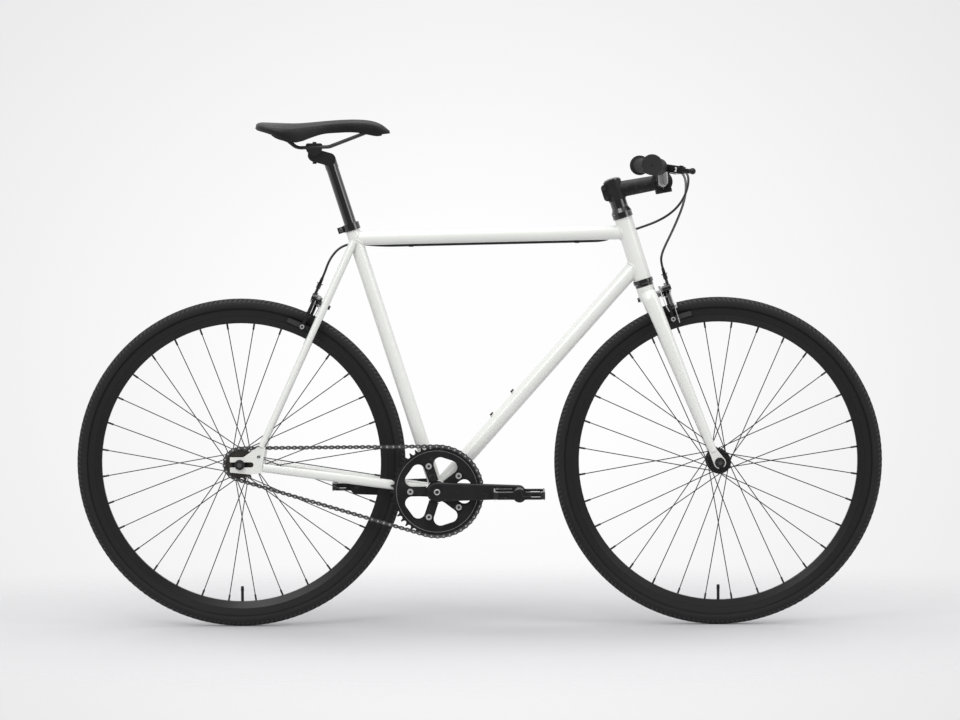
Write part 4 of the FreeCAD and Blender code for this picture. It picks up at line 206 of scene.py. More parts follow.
# Middle lines of the main tubes, their radii, and how far up the head tube the down tube meets it
SEAT_TUBE_TOP = (-0.26479, 0.0, 0.83038)
HEAD_TUBE_LOW = (0.33674, 0.0, 0.71468)
HEAD_TUBE_TOP = (0.29719, 0.0, 0.84166)
TOP_TUBE_BACK = (-0.25531, 0.0, 0.80086)
TOP_TUBE_FRONT = (0.30655, 0.0, 0.81158)
DOWN_TUBE_RISE = 0.0335
SEAT_TUBE_RADIUS = 0.0143
TOP_TUBE_RADIUS = 0.0143
DOWN_TUBE_RADIUS = 0.0159
HEAD_TUBE_RADIUS = 0.0185
BRACKET_RADIUS = 0.02
# Points of a weld bead to each ripple, and how much of its width a ripple is
RIPPLE_POINTS = 4
RIPPLE_SHARE = 0.16

# Studio: each lamp's place, aim, size and watts, the camera with its turn in degrees, and the floor's rings
LAMPS = {"key_light": ((-1.4, -2.6, 2.8), (0.0, 0.0, 0.5), 2.2, 58.0),
         "fill_light": ((2.4, -1.8, 2.2), (0.1, 0.0, 0.5), 1.8, 26.0),
         "top_light": ((0.0, 0.1, 3.4), (0.0, 0.0, 0.0), 2.4, 46.0)}
WORLD_LIGHT = 0.68
CAMERA_SENSOR = 36.0
CAMERA_LENS = 140.29
CAMERA_PLACE = (-0.0301, -7.7139, 0.9349)
CAMERA_TURN = (87.137, 0.2046, -0.241)
FLOOR_RADII = (1.0, 2.0, 3.2, 4.6, 6.0)
FLOOR_POINTS = 72


def colour_property(label, description, default):
    """Colour that a user can change."""
    return bpy.props.FloatVectorProperty(name=label, description=description, default=default,
                                         subtype="COLOR", size=3, min=0.0, max=1.0)


def length_property(label, description, default):
    """Length that a user can change."""
    return bpy.props.FloatProperty(name=label, description=description, default=default,
                                   subtype="DISTANCE", unit="LENGTH", min=0.0)


class BicycleColours(bpy.types.PropertyGroup):
    """Colours of the bicycle's finishes and of the studio."""
    paint: colour_property("Frame paint", "Gloss paint on the frame and fork", (0.735, 0.745, 0.715))
    satin_black: colour_property("Satin black", "Anodised alloy of cranks, stem, hubs and levers",
                                 (0.010, 0.010, 0.0105))
    gloss_black: colour_property("Gloss black", "Polished black of bar, post, headset and calipers",
                                 (0.007, 0.007, 0.0075))
    rubbed_black: colour_property("Rubbed black", "Spots where black alloy is rubbed", (0.16, 0.16, 0.165))
    rim_black: colour_property("Rim black", "Deep rims", (0.012, 0.012, 0.013))
    rubbed_rim: colour_property("Rubbed rim", "Braking band of the rims", (0.04, 0.04, 0.042))
    tyre: colour_property("Tyre", "Tread and side walls", (0.011, 0.011, 0.0115))
    dust: colour_property("Tread dust", "Dust on the tread", (0.055, 0.055, 0.056))
    spoke: colour_property("Spokes", "Blackened spokes", (0.05, 0.05, 0.053))
    chain: colour_property("Chain", "Oiled chain steel", (0.105, 0.096, 0.086))
    steel: colour_property("Bright steel", "Bolts, wires and machined edges", (0.60, 0.60, 0.61))
    dark_steel: colour_property("Dark steel", "Small bolts, axles and rails", (0.06, 0.06, 0.062))
    oily_steel: colour_property("Oily steel", "Darker drifts in the dark steel", (0.04, 0.04, 0.041))
    grip: colour_property("Grips", "Ribbed rubber", (0.012, 0.012, 0.0125))
    vinyl: colour_property("Saddle", "Saddle cover", (0.007, 0.007, 0.0075))
    # Painted highlight on the saddle cover at its rear edge
    saddle_back_highlight: colour_property("Saddle back highlight", "Saddle cover at its rear edge", (0.03, 0.03, 0.031))
    housing: colour_property("Housing", "Brake housing and plastic clips", (0.006, 0.006, 0.0065))
    pad: colour_property("Brake pads", "Pad rubber", (0.020, 0.020, 0.020))
    dusty_pad: colour_property("Dusty pads", "Paler drifts in the pad rubber", (0.032, 0.031, 0.030))
    floor: colour_property("Floor", "Studio floor", (0.60, 0.598, 0.612))
    backdrop: colour_property("Backdrop", "What the camera and reflections see", (0.992, 0.99, 1.0))


class BicycleSizes(bpy.types.PropertyGroup):
    """Sizes of the pieces that dress the bicycle."""
    saddle_length: length_property("Saddle length", "Back edge to nose", 0.275)
    saddle_width: length_property("Saddle width", "Across the widest place", 0.145)
    saddle_depth: length_property("Saddle depth", "Crown to lowest skirt", 0.046)
    saddle_rise: length_property("Saddle rise", "Tilt pivot to crown", 0.0575)
    saddle_back: length_property("Saddle back", "Tilt pivot to back edge", 0.1198)
    welt_width: length_property("Welt", "Diameter of the welt round the saddle's edge", 0.0016)
    housing_width: length_property("Housing diameter", "Outer diameter of the brake housing", 0.005)
    wire_width: length_property("Wire diameter", "Bare brake wire", 0.0016)
    spring_width: length_property("Spring diameter", "Wire of the calipers' return springs", 0.0018)
    bead_width: length_property("Weld bead", "Width of the bead round a tube joint", 0.0042)


def add(tree, kind, inputs=None, **settings):
    """New shader node with its settings and inputs; a socket given as an input is linked."""
    node = tree.nodes.new(kind)
    for name, value in settings.items():
        setattr(node, name, value)
    for key, value in (inputs or {}).items():
        if isinstance(value, bpy.types.NodeSocket):
            tree.links.new(value, node.inputs[key])
        else:
            node.inputs[key].default_value = value
    return node


def calc(tree, operation, first, second=0.0, third=0.0):
    """Result of a Math node."""
    return add(tree, "ShaderNodeMath", {0: first, 1: second, 2: third}, operation=operation).outputs[0]


def product(tree, *values):
    """All the values multiplied together."""
    result = values[0]
    for value in values[1:]:
        result = calc(tree, "MULTIPLY", result, value)
    return result


def distance(tree, first, second):
    """Distance from zero of a point with these two coordinates."""
    squares = calc(tree, "ADD", product(tree, first, first), product(tree, second, second))
    return calc(tree, "SQRT", squares)


def blend_colours(tree, share, first, second):
    """The first colour where the share is 0, the second where it is 1."""
    return add(tree, "ShaderNodeMix", {0: share, 6: first, 7: second}, data_type="RGBA").outputs[2]


def scaled(tree, value, low, high, start=0.0, end=1.0, ends="LINEAR"):
    """The value's range from low to high, spread over start to end and held there."""
    spread = {"Value": value, "From Min": low, "From Max": high, "To Min": start, "To Max": end}
    return add(tree, "ShaderNodeMapRange", spread, interpolation_type=ends).outputs[0]


def eased(tree, value, low, high, start=0.0, end=1.0):
    """As scaled, but with soft ends."""
    return scaled(tree, value, low, high, start, end, ends="SMOOTHSTEP")


def coordinates(tree, kind="Object"):
    """The x, y and z of the place that is shaded."""
    return add(tree, "ShaderNodeSeparateXYZ", {0: add(tree, "ShaderNodeTexCoord").outputs[kind]}).outputs


def new_group(name, inputs, outputs):
    """Shader node group with these sockets, given as its tree, what comes in and what goes out."""
    tree = bpy.data.node_groups.new(name, "ShaderNodeTree")
    for label, kind, value in inputs:
        tree.interface.new_socket(name=label, in_out="INPUT", socket_type=kind).default_value = value
    for label, kind in outputs:
        tree.interface.new_socket(name=label, in_out="OUTPUT", socket_type=kind)
    return tree, tree.nodes.new("NodeGroupInput").outputs, tree.nodes.new("NodeGroupOutput").inputs


def surface_drift_group():
    """Slow change of tone and gloss over a surface, and a fine grain as height."""
    tree, given, out = new_group("Surface drift", [
        ("Colour", "NodeSocketColor", (0.5, 0.5, 0.5, 1.0)),
        ("Second colour", "NodeSocketColor", (0.4, 0.4, 0.4, 1.0)),
        ("Roughness", "NodeSocketFloat", 0.4), ("Spread", "NodeSocketFloat", 0.1),
        ("Scale", "NodeSocketFloat", 12.0), ("Grain", "NodeSocketFloat", 900.0)],
        [("Colour", "NodeSocketColor"), ("Roughness", "NodeSocketFloat"), ("Height", "NodeSocketFloat")])
    spot = add(tree, "ShaderNodeTexCoord").outputs["Object"]
    slow = add(tree, "ShaderNodeTexNoise", {"Vector": spot, "Scale": given["Scale"], "Detail": 5.0})
    fine = add(tree, "ShaderNodeTexNoise", {"Vector": spot, "Scale": given["Grain"], "Detail": 2.0})
    share = scaled(tree, slow.outputs[0], low=0.35, high=0.65)
    tree.links.new(blend_colours(tree, share, given["Colour"], given["Second colour"]), out["Colour"])
    offset = product(tree, calc(tree, "SUBTRACT", share, 0.5), given["Spread"])
    tree.links.new(calc(tree, "ADD", given["Roughness"], offset), out["Roughness"])
    tree.links.new(fine.outputs[0], out["Height"])


def scuff_group():
    """Sparse scratches and rubbed spots, as a mask."""
    tree, given, out = new_group(
        "Scuffs", [("Scale", "NodeSocketFloat", 60.0), ("Amount", "NodeSocketFloat", 0.3)],
        [("Mask", "NodeSocketFloat")])
    patch_scale_share = 0.6
    spot = add(tree, "ShaderNodeTexCoord").outputs["Object"]
    lines = add(tree, "ShaderNodeTexVoronoi", {"Vector": spot, "Scale": given["Scale"]},
                feature="DISTANCE_TO_EDGE")
    thin = scaled(tree, lines.outputs["Distance"], low=0.0, high=0.05, start=1.0, end=0.0)
    patches = add(tree, "ShaderNodeTexNoise", {
        "Vector": spot, "Scale": product(tree, given["Scale"], patch_scale_share), "Detail": 3.0})
    worn = scaled(tree, patches.outputs[0], low=0.55, high=0.75)
    tree.links.new(product(tree, thin, worn, given["Amount"]), out["Mask"])


def wheel_place_group():
    """Radius, turn and sideways place on either wheel, as both lie equally far from the middle."""
    tree, given, out = new_group(
        "Wheel place", [("Half wheelbase", "NodeSocketFloat", WHEELBASE / 2),
                        ("Axle height", "NodeSocketFloat", AXLE_HEIGHT)],
        [("Radius", "NodeSocketFloat"), ("Turn", "NodeSocketFloat"), ("Across", "NodeSocketFloat")])
    spot = coordinates(tree)
    ahead = calc(tree, "SUBTRACT", calc(tree, "ABSOLUTE", spot["X"]), given["Half wheelbase"])
    above = calc(tree, "SUBTRACT", spot["Z"], given["Axle height"])
    tree.links.new(distance(tree, ahead, above), out["Radius"])
    tree.links.new(calc(tree, "ARCTAN2", above, ahead), out["Turn"])
    tree.links.new(spot["Y"], out["Across"])


def four(colour, share=1.0):
    """Opaque colour for a socket, at a share of its strength."""
    return (colour[0] * share, colour[1] * share, colour[2] * share, 1.0)


def plain_finish(name, colour, second, roughness, spread, scale=12.0, grain=900.0, bump=0.05, depth=0.0002,
                 worn=None, **shader):
    """Material with drifting tone and gloss, fine grain, and rubbed spots where worn gives their colour."""
    material = bpy.data.materials.new(name)
    material.use_nodes = True
    tree = material.node_tree
    tree.nodes.clear()
    drift = add(tree, "ShaderNodeGroup", {
        "Colour": colour, "Second colour": second, "Roughness": roughness, "Spread": spread, "Scale": scale,
        "Grain": grain}, node_tree=bpy.data.node_groups["Surface drift"])
    tone = drift.outputs["Colour"]
    if worn:
        scuffs = add(tree, "ShaderNodeGroup", node_tree=bpy.data.node_groups["Scuffs"])
        tone = blend_colours(tree, scuffs.outputs["Mask"], tone, worn)
    bumps = add(tree, "ShaderNodeBump", {
        "Strength": bump, "Distance": depth, "Height": drift.outputs["Height"]})
    surface = add(tree, "ShaderNodeBsdfPrincipled", {
        "Base Color": tone, "Roughness": drift.outputs["Roughness"], "Normal": bumps.outputs["Normal"]})
    for key, value in shader.items():
        surface.inputs[key.replace("_", " ")].default_value = value
    add(tree, "ShaderNodeOutputMaterial", {"Surface": surface.outputs["BSDF"]})
    return material


def shader_parts(material):
    """The material's tree, its surface node, its drift node and its bump node."""
    tree = material.node_tree
    found = {node.bl_idname: node for node in tree.nodes}
    groups = {node.node_tree.name: node for node in tree.nodes if node.bl_idname == "ShaderNodeGroup"}
    return tree, found["ShaderNodeBsdfPrincipled"], groups["Surface drift"], found["ShaderNodeBump"]


def bare_metal(material, mask, colour):
    """Bright metal over the material's own tone, where the mask says so."""
    tree, surface = shader_parts(material)[:2]
    tone = surface.inputs["Base Color"].links[0].from_socket
    tree.links.new(blend_colours(tree, mask, tone, colour), surface.inputs["Base Color"])
    tree.links.new(mask, surface.inputs["Metallic"])


def wheel_node(tree):
    """Outputs of the wheel place group, at the bicycle's own sizes."""
    return add(tree, "ShaderNodeGroup", {"Half wheelbase": WHEELBASE / 2, "Axle height": AXLE_HEIGHT},
               node_tree=bpy.data.node_groups["Wheel place"]).outputs


def tyre_finish(colours):
    """Rubber with dusty slanted bars on the crown, fine moulded rings on the side walls, and darker next to
    the rim.
    """
    crown_start, crown_full = 0.3300, 0.3335
    middle_edge, shoulder_edge = 0.0022, 0.0030
    bar_turn, bar_slant, bar_edge = 210.0, 520.0, 0.25
    ring_turn, ring_height = 5200.0, 0.12
    grain_share, dust_share = 0.15, 0.6
    near_rim_start, wall_edge, near_rim_share = 0.3180, 0.3208, 0.8
    material = plain_finish("Tyre rubber", four(colours.tyre), four(colours.tyre, 1.35), roughness=0.72,
                            spread=0.14, scale=9.0, grain=700.0, bump=0.55, depth=0.0008,
                            Specular_IOR_Level=0.3)
    tree, surface, drift, bumps = shader_parts(material)
    at = wheel_node(tree)
    side = calc(tree, "ABSOLUTE", at["Across"])
    crown = scaled(tree, at["Radius"], crown_start, crown_full)
    slant = calc(tree, "ADD", product(tree, at["Turn"], bar_turn), product(tree, side, bar_slant))
    bars = scaled(tree, calc(tree, "SINE", slant), -bar_edge, bar_edge)
    rings = product(tree, calc(tree, "SINE", product(tree, at["Radius"], ring_turn)), ring_height)
    tread = product(tree, bars, crown, scaled(tree, side, middle_edge, shoulder_edge))
    walls = product(tree, rings, calc(tree, "SUBTRACT", 1.0, crown))
    grain = product(tree, drift.outputs["Height"], grain_share)
    height = calc(tree, "ADD", calc(tree, "ADD", tread, walls), grain)
    tree.links.new(height, bumps.inputs["Height"])
    dust = product(tree, crown, bars, dust_share)
    tone = blend_colours(tree, dust, drift.outputs["Colour"], four(colours.dust))
    # Darker next to the rim, fading out onto the side wall
    bead = scaled(tree, at["Radius"], near_rim_start, wall_edge, near_rim_share, 0.0)
    tone = blend_colours(tree, bead, tone, four(colours.tyre, 0.2))
    tree.links.new(tone, surface.inputs["Base Color"])
    return material


def rim_finish(colours):
    """Black rim whose braking band is rubbed paler in fine rings."""
    band_low, band_low_full = 0.3030, 0.3045
    band_high_full, band_high = 0.3150, 0.3165
    ring_scale, metal_share = 2600.0, 0.8
    material = plain_finish("Rim black", four(colours.rim_black), four(colours.rim_black, 0.8),
                            roughness=0.34, spread=0.10, scale=7.0, grain=1400.0,
                            Specular_IOR_Level=0.3, Coat_Weight=0.12, Coat_Roughness=0.15)
    tree, surface, drift, bumps = shader_parts(material)
    radius = wheel_node(tree)["Radius"]
    band = product(tree, scaled(tree, radius, band_low, band_low_full),
                   scaled(tree, radius, band_high, band_high_full))
    rings = add(tree, "ShaderNodeTexNoise", {
        "W": product(tree, radius, ring_scale), "Scale": 1.0, "Detail": 3.0},
        noise_dimensions="1D").outputs[0]
    rubbed = product(tree, band, scaled(tree, rings, low=0.4, high=0.7, start=0.15, end=0.6))
    tone = blend_colours(tree, rubbed, drift.outputs["Colour"], four(colours.rubbed_rim))
    tree.links.new(tone, surface.inputs["Base Color"])
    tree.links.new(product(tree, rubbed, metal_share), surface.inputs["Metallic"])
    height = calc(tree, "ADD", product(tree, rings, band), drift.outputs["Height"])
    tree.links.new(height, bumps.inputs["Height"])
    return material


def pedal_finish(colours):
    """Black cast pedal body whose upper and lower cage edges are machined bright."""
    eye_half, eye_edge = 0.0140, 0.0146
    body_half, cage_half = 0.0070, 0.0074
    material = plain_finish("Pedal alloy", four(colours.satin_black, 1.2), four(colours.satin_black, 0.8),
                            roughness=0.40, spread=0.12, scale=30.0, grain=1100.0,
                            worn=four(colours.steel, 0.5), Specular_IOR_Level=0.35)
    tree = material.node_tree
    spot = coordinates(tree)
    tall = calc(tree, "ABSOLUTE", calc(tree, "SUBTRACT", spot["Z"], CRANK_CENTRE[2]))
    from_crank = calc(tree, "ABSOLUTE", calc(tree, "SUBTRACT", spot["X"], CRANK_CENTRE[0]))
    from_eye = calc(tree, "ABSOLUTE", calc(tree, "SUBTRACT", from_crank, CRANK_LENGTH))
    edge = product(tree, scaled(tree, tall, body_half, cage_half), scaled(tree, from_eye, eye_half, eye_edge))
    bare_metal(material, edge, four(colours.steel))
    return material


def chainring_finish(colours):
    """Satin black ring with a thin line of bright metal below the teeth, a painted highlight of its chamfer
    edge.
    """
    highlight_low, highlight_low_full = 0.0832, 0.0834
    highlight_high_full, highlight_high = 0.0840, 0.0842
    material = plain_finish("Chainring black", four(colours.satin_black), four(colours.satin_black, 1.4),
                            roughness=0.40, spread=0.12, scale=22.0, grain=1500.0, bump=0.08,
                            worn=four(colours.rubbed_black), Specular_IOR_Level=0.3)
    tree = material.node_tree
    spot = coordinates(tree)
    reach = distance(tree, calc(tree, "SUBTRACT", spot["X"], CRANK_CENTRE[0]),
                     calc(tree, "SUBTRACT", spot["Z"], CRANK_CENTRE[2]))
    # Painted highlight: a thin ring of bright metal where the chamfer edge catches the light
    line = product(tree, scaled(tree, reach, highlight_low, highlight_low_full),
                   scaled(tree, reach, highlight_high, highlight_high_full))
    bare_metal(material, line, four(colours.steel, 0.8))
    return material


def vinyl_finish(colours):
    """Saddle cover with a fine leather grain, and a painted highlight that makes it paler at its rear edge.
    """
    back_edge, back_end = -0.452, -0.40
    cell_scale, cell_edge = 620.0, 0.22
    grain_share, highlight_share = 0.4, 0.5
    material = plain_finish("Saddle vinyl", four(colours.vinyl), four(colours.vinyl, 1.3), roughness=0.46,
                            spread=0.12, scale=16.0, grain=900.0, bump=0.16, depth=0.0004,
                            Specular_IOR_Level=0.35)
    tree, surface, drift, bumps = shader_parts(material)
    spot = add(tree, "ShaderNodeTexCoord").outputs["Object"]
    cells = add(tree, "ShaderNodeTexVoronoi", {"Vector": spot, "Scale": cell_scale},
                feature="DISTANCE_TO_EDGE")
    creases = scaled(tree, cells.outputs["Distance"], 0.0, cell_edge)
    height = calc(tree, "ADD", creases, product(tree, drift.outputs["Height"], grain_share))
    tree.links.new(height, bumps.inputs["Height"])
    # Painted highlight: the cover turns paler towards its rear edge
    back = scaled(tree, coordinates(tree)["X"], back_edge, back_end, highlight_share, 0.0)
    tone = blend_colours(tree, back, drift.outputs["Colour"], four(colours.saddle_back_highlight))
    tree.links.new(tone, surface.inputs["Base Color"])
    return material


def make_finishes():
    """Every material of the bicycle, by a short name."""
    for build in (surface_drift_group, scuff_group, wheel_place_group):
        build()
    colours = bpy.context.scene.bicycle_colours
    paint, satin, gloss = colours.paint, colours.satin_black, colours.gloss_black
    spoke, chain, steel = colours.spoke, colours.chain, colours.steel
    grip, housing = colours.grip, colours.housing
    return {
        "paint": plain_finish("Frame paint", four(paint), four(paint, 0.975), roughness=0.30, spread=0.05,
                              scale=5.0, grain=900.0, bump=0.004, depth=0.0001, Coat_Weight=0.7,
                              Coat_Roughness=0.06),
        "satin": plain_finish("Satin black alloy", four(satin), four(satin, 1.4), roughness=0.42, spread=0.12,
                              scale=22.0, grain=1500.0, bump=0.08, worn=four(colours.rubbed_black),
                              Specular_IOR_Level=0.3),
        "gloss": plain_finish("Gloss black", four(gloss), four(gloss, 1.3), roughness=0.22, spread=0.06,
                              scale=14.0, grain=700.0, bump=0.02, Coat_Weight=1.0, Coat_Roughness=0.05),
        "rim": rim_finish(colours),
        "tyre": tyre_finish(colours),
        "spoke": plain_finish("Blackened spokes", four(spoke), four(spoke, 0.7), roughness=0.36, spread=0.10,
                              scale=40.0, grain=1600.0, Metallic=0.7),
        "chain": plain_finish("Oiled chain steel", four(chain), four(chain, 0.55), roughness=0.38,
                              spread=0.22, scale=55.0, grain=1300.0, bump=0.12, worn=four(steel, 0.6),
                              Metallic=0.85),
        "link": plain_finish("Rubbed link plates", four(steel, 0.28), four(steel, 0.14), roughness=0.30,
                             spread=0.18, scale=70.0, grain=1300.0, bump=0.08, worn=four(chain),
                             Metallic=0.6),
        "cog": plain_finish("Cog steel", four(chain, 1.35), four(chain, 0.8), roughness=0.36, spread=0.18,
                            scale=45.0, grain=1500.0, bump=0.10, worn=four(steel, 0.7), Metallic=0.9),
        "steel": plain_finish("Bright steel", four(steel, 1.15), four(steel), roughness=0.27, spread=0.14,
                              scale=60.0, grain=1800.0, bump=0.06, Metallic=0.6),
        "dark_steel": plain_finish("Dark steel", four(colours.dark_steel), four(colours.oily_steel),
                                   roughness=0.36, spread=0.14, scale=50.0, grain=1500.0, bump=0.06,
                                   worn=four(steel, 0.4), Metallic=0.6),
        "pedal": pedal_finish(colours),
        "ring": chainring_finish(colours),
        "grip": plain_finish("Grip rubber", four(grip), four(grip, 1.5), roughness=0.66, spread=0.14,
                             scale=35.0, grain=1500.0, bump=0.30, depth=0.0003, Specular_IOR_Level=0.35),
        "vinyl": vinyl_finish(colours),
        "plastic": plain_finish("Black plastic", four(housing, 1.3), four(housing, 1.7), roughness=0.48,
                                spread=0.10, scale=30.0, grain=1700.0, bump=0.15, Specular_IOR_Level=0.3),
        "housing": plain_finish("Cable housing", four(housing), four(housing, 1.3), roughness=0.34,
                                spread=0.08, scale=40.0, grain=900.0, bump=0.05, Coat_Weight=0.3,
                                Coat_Roughness=0.2),
        "pad": plain_finish("Brake pad rubber", four(colours.pad), four(colours.dusty_pad), roughness=0.78,
                            spread=0.12, scale=60.0, grain=1400.0, bump=0.25),
    }


def cover_node(name, *materials):
    """Puts materials on a solid of the frame in place of the ones it came with."""
    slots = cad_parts[name].data.materials
    slots.clear()
    for material in materials:
        slots.append(material)


def cover_nodes(finishes):
    """Puts each finish all over the nodes that are listed with it."""
    for finish, names in finishes.items():
        for name in names:
            cover_node(name, FINISH[finish])


def spread_finish(name, first, others):
    """First material all over a node, and each other one where its test holds for a face's middle."""
    cover_node(name, first, *[material for material, test in others])
    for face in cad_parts[name].data.polygons:
        face.material_index = 0
        for index, (material, test) in enumerate(others):
            if test(face.center):
                face.material_index = index + 1


def place_mesh(name, points, faces, material, smooth=True):
    """Mesh object from points and faces, in the scene, with one material."""
    mesh = bpy.data.meshes.new(name)
    mesh.from_pydata([tuple(p) for p in points], [], faces)
    mesh.update()
    mesh.materials.append(material)
    for face in mesh.polygons:
        face.use_smooth = smooth
    piece = bpy.data.objects.new(name, mesh)
    bpy.context.scene.collection.objects.link(piece)
    return piece


def bridge(first, second, size):
    """Faces between two rings of points that start at these two numbers."""
    steps = [(step, (step + 1) % size) for step in range(size)]
    return [(first + step, first + beside, second + beside, second + step) for step, beside in steps]


def spline_points(route):
    """Points along the smooth spline that has the route as its control points."""
    curve = bpy.data.curves.new("route", "CURVE")
    curve.dimensions = "3D"
    curve.resolution_u = 10
    spline = curve.splines.new("NURBS")
    spline.points.add(len(route) - 1)
    for point, spot in zip(spline.points, route):
        point.co = (*spot, 1.0)
    spline.order_u = 3
    spline.use_endpoint_u = True
    holder = bpy.data.objects.new("route", curve)
    mesh = bpy.data.meshes.new_from_object(holder)
    points = [vertex.co.copy() for vertex in mesh.vertices]
    bpy.data.objects.remove(holder)
    bpy.data.curves.remove(curve)
    bpy.data.meshes.remove(mesh)
    return points


def tube(name, points, radii, material, sides=14, closed=False, smooth=True):
    """Round tube along points, its rings kept from twisting; radii is one value or one for each point."""
    points = [Vector(p) for p in points]
    count = len(points)
    if isinstance(radii, float):
        radii = [radii] * count
    verts, faces, across = [], [], None
    for index, centre in enumerate(points):
        before = points[index - 1] if index or closed else centre
        after = points[(index + 1) % count] if index + 1 < count or closed else centre
        ahead = (after - before).normalized()
        if across is None:
            across = ahead.orthogonal().normalized()
        across = (across - ahead * across.dot(ahead)).normalized()
        upright = ahead.cross(across)
        for step in range(sides):
            angle = 2 * math.pi * step / sides
            verts.append(centre + (across * math.cos(angle) + upright * math.sin(angle)) * radii[index])
    for ring in range(count if closed else count - 1):
        faces += bridge(ring * sides, (ring + 1) % count * sides, sides)
    if not closed:
        faces.append(tuple(reversed(range(sides))))
        faces.append(tuple((count - 1) * sides + step for step in range(sides)))
    return place_mesh(name, verts, faces, material, smooth)


def turned(name, centre, axis, profile, material, sides=24, smooth=True):
    """Piece turned about an axis from steps of height and radius, closed at both ends."""
    centre, axis = Vector(centre), Vector(axis).normalized()
    points = [centre + axis * height for height, radius in profile]
    return tube(name, points, [radius for height, radius in profile], material, sides, smooth=smooth)


def wheel_radius(spot, axle):
    """Distance of a point from an axle."""
    return math.hypot(spot.x - axle[0], spot.z - axle[2])


def tread_blocks(name, axle, material):
    """Slanted rubber blocks on both shoulders of a round tyre, sunk into it and standing a little proud."""
    section = TYRE_WIDTH / 2
    ring, pitch = AXLE_HEIGHT - section, 2 * math.pi / TREAD_BLOCKS
    corners = ((0.0, -TREAD_ROOT), (TREAD_FILL_SHARE, -TREAD_ROOT), (TREAD_FILL_SHARE, TREAD_HEIGHT),
               (0.0, TREAD_HEIGHT))
    size, last_step = len(corners), len(TREAD_LEANS) - 1
    verts, faces = [], []
    for side in SIDES.values():
        for block in range(TREAD_BLOCKS):
            start = len(verts)
            for step, lean in enumerate(TREAD_LEANS):
                for share, lift in corners:
                    turn = pitch * (block + share + TREAD_SLANT_SHARE * step)
                    reach = ring + (section + lift) * math.cos(lean)
                    verts.append((axle[0] + reach * math.cos(turn), side * (section + lift) * math.sin(lean),
                                  axle[2] + reach * math.sin(turn)))
            last = start + size * last_step
            walls = [tuple(start + k for k in reversed(range(size))), tuple(last + k for k in range(size))]
            for step in range(last_step):
                walls += bridge(start + size * step, start + size * (step + 1), size)
            faces += [wall[::side] for wall in walls]
    return place_mesh(name, verts, faces, material, smooth=False)


def smooth_station(along):
    """The saddle's shares at any place along it, eased between the listed stations."""
    last = len(SADDLE_STATION_SHARES) - 1
    rounding = 1e-9
    index = max(i for i in range(last) if SADDLE_STATION_SHARES[i][0] <= along + rounding)
    quad = [SADDLE_STATION_SHARES[min(max(index + step, 0), last)] for step in (-1, 0, 1, 2)]
    span = quad[2][0] - quad[1][0]
    t = (along - quad[1][0]) / span
    values = []
    for k in range(1, len(quad[0])):
        slopes = []
        for before, after in ((quad[0], quad[2]), (quad[1], quad[3])):
            slopes.append((after[k] - before[k]) / (after[0] - before[0]) * span)
        values.append((2 * t ** 3 - 3 * t ** 2 + 1) * quad[1][k] + (t ** 3 - 2 * t ** 2 + t) * slopes[0]
                      + (3 * t ** 2 - 2 * t ** 3) * quad[2][k] + (t ** 3 - t ** 2) * slopes[1])
    return values


def saddle_ring(along):
    """Points round the saddle cover at one place along it, down one side from the crown and up the other."""
    sizes = bpy.context.scene.bicycle_sizes
    width, top, shoulder, skirt = smooth_station(along)
    half = sizes.saddle_width / 2 * width
    top, shoulder, skirt = (-share * sizes.saddle_depth for share in (top, shoulder, skirt))
    x = SADDLE_PIVOT[0] + along * sizes.saddle_length - sizes.saddle_back
    z = SADDLE_PIVOT[2] + sizes.saddle_rise
    foot = half * FOOT_SHARE
    thin = min(EDGE_THICKNESS, half * EDGE_THICKNESS_SHARE)
    under = max(top - HOLLOW_SHARE * sizes.saddle_depth, skirt + HOLLOW_RISE)
    hollow_out, hollow_up = HOLLOW_SIDE_SHARES
    side = [(half * out, top + (shoulder - top) * down) for out, down in CROWN_SHARES]
    side += [(half * out, shoulder + (skirt - shoulder) * down) for out, down in SKIRT_SHARES]
    side += [(foot, skirt + thin / 2), (foot - thin, skirt), (foot - 2 * thin, skirt + thin),
             (foot * hollow_out, skirt + (under - skirt) * hollow_up)]
    ring = [(0.0, top)] + side + [(0.0, under)] + [(-y, h) for y, h in reversed(side)]
    return [(x, y, z + h) for y, h in ring]


def saddle_end(first, size):
    """Faces that close the ring of points that starts at a number, in strips from its crown to its hollow."""
    faces = []
    for step in range(size // 2 - 1):
        strip = (step, step + 1, (size - step - 1) % size, (size - step) % size)
        faces.append(tuple(first + k for place, k in enumerate(strip) if k not in strip[:place]))
    foot = first + size // 2
    return faces + [(foot - 1, foot, foot + 1)]


def cylinder_meeting(start, along, radius, base, axis, girth, turns=96):
    """Closed line where a tube that leaves the base tube's inside meets the base tube's surface."""
    along, axis = along.normalized(), axis.normalized()
    across = along.orthogonal().normalized()
    upright = along.cross(across)
    line = []
    for step in range(turns):
        angle = 2 * math.pi * step / turns
        spot = start + (across * math.cos(angle) + upright * math.sin(angle)) * radius
        offset = spot - base
        flat_run = along - axis * along.dot(axis)
        flat_off = offset - axis * offset.dot(axis)
        a, b, c = flat_run.dot(flat_run), 2 * flat_run.dot(flat_off), flat_off.dot(flat_off) - girth ** 2
        inside = b * b - 4 * a * c
        if inside > 0:
            line.append(spot + along * ((-b + math.sqrt(inside)) / (2 * a)))
    return line


class BICYCLE_OT_finishes(bpy.types.Operator):
    """Mix the paint, metal, rubber and vinyl finishes"""
    bl_idname = "bicycle.finishes"
    bl_label = "Finishes"

    def execute(self, context):
        FINISH.update(make_finishes())
        return {"FINISHED"}


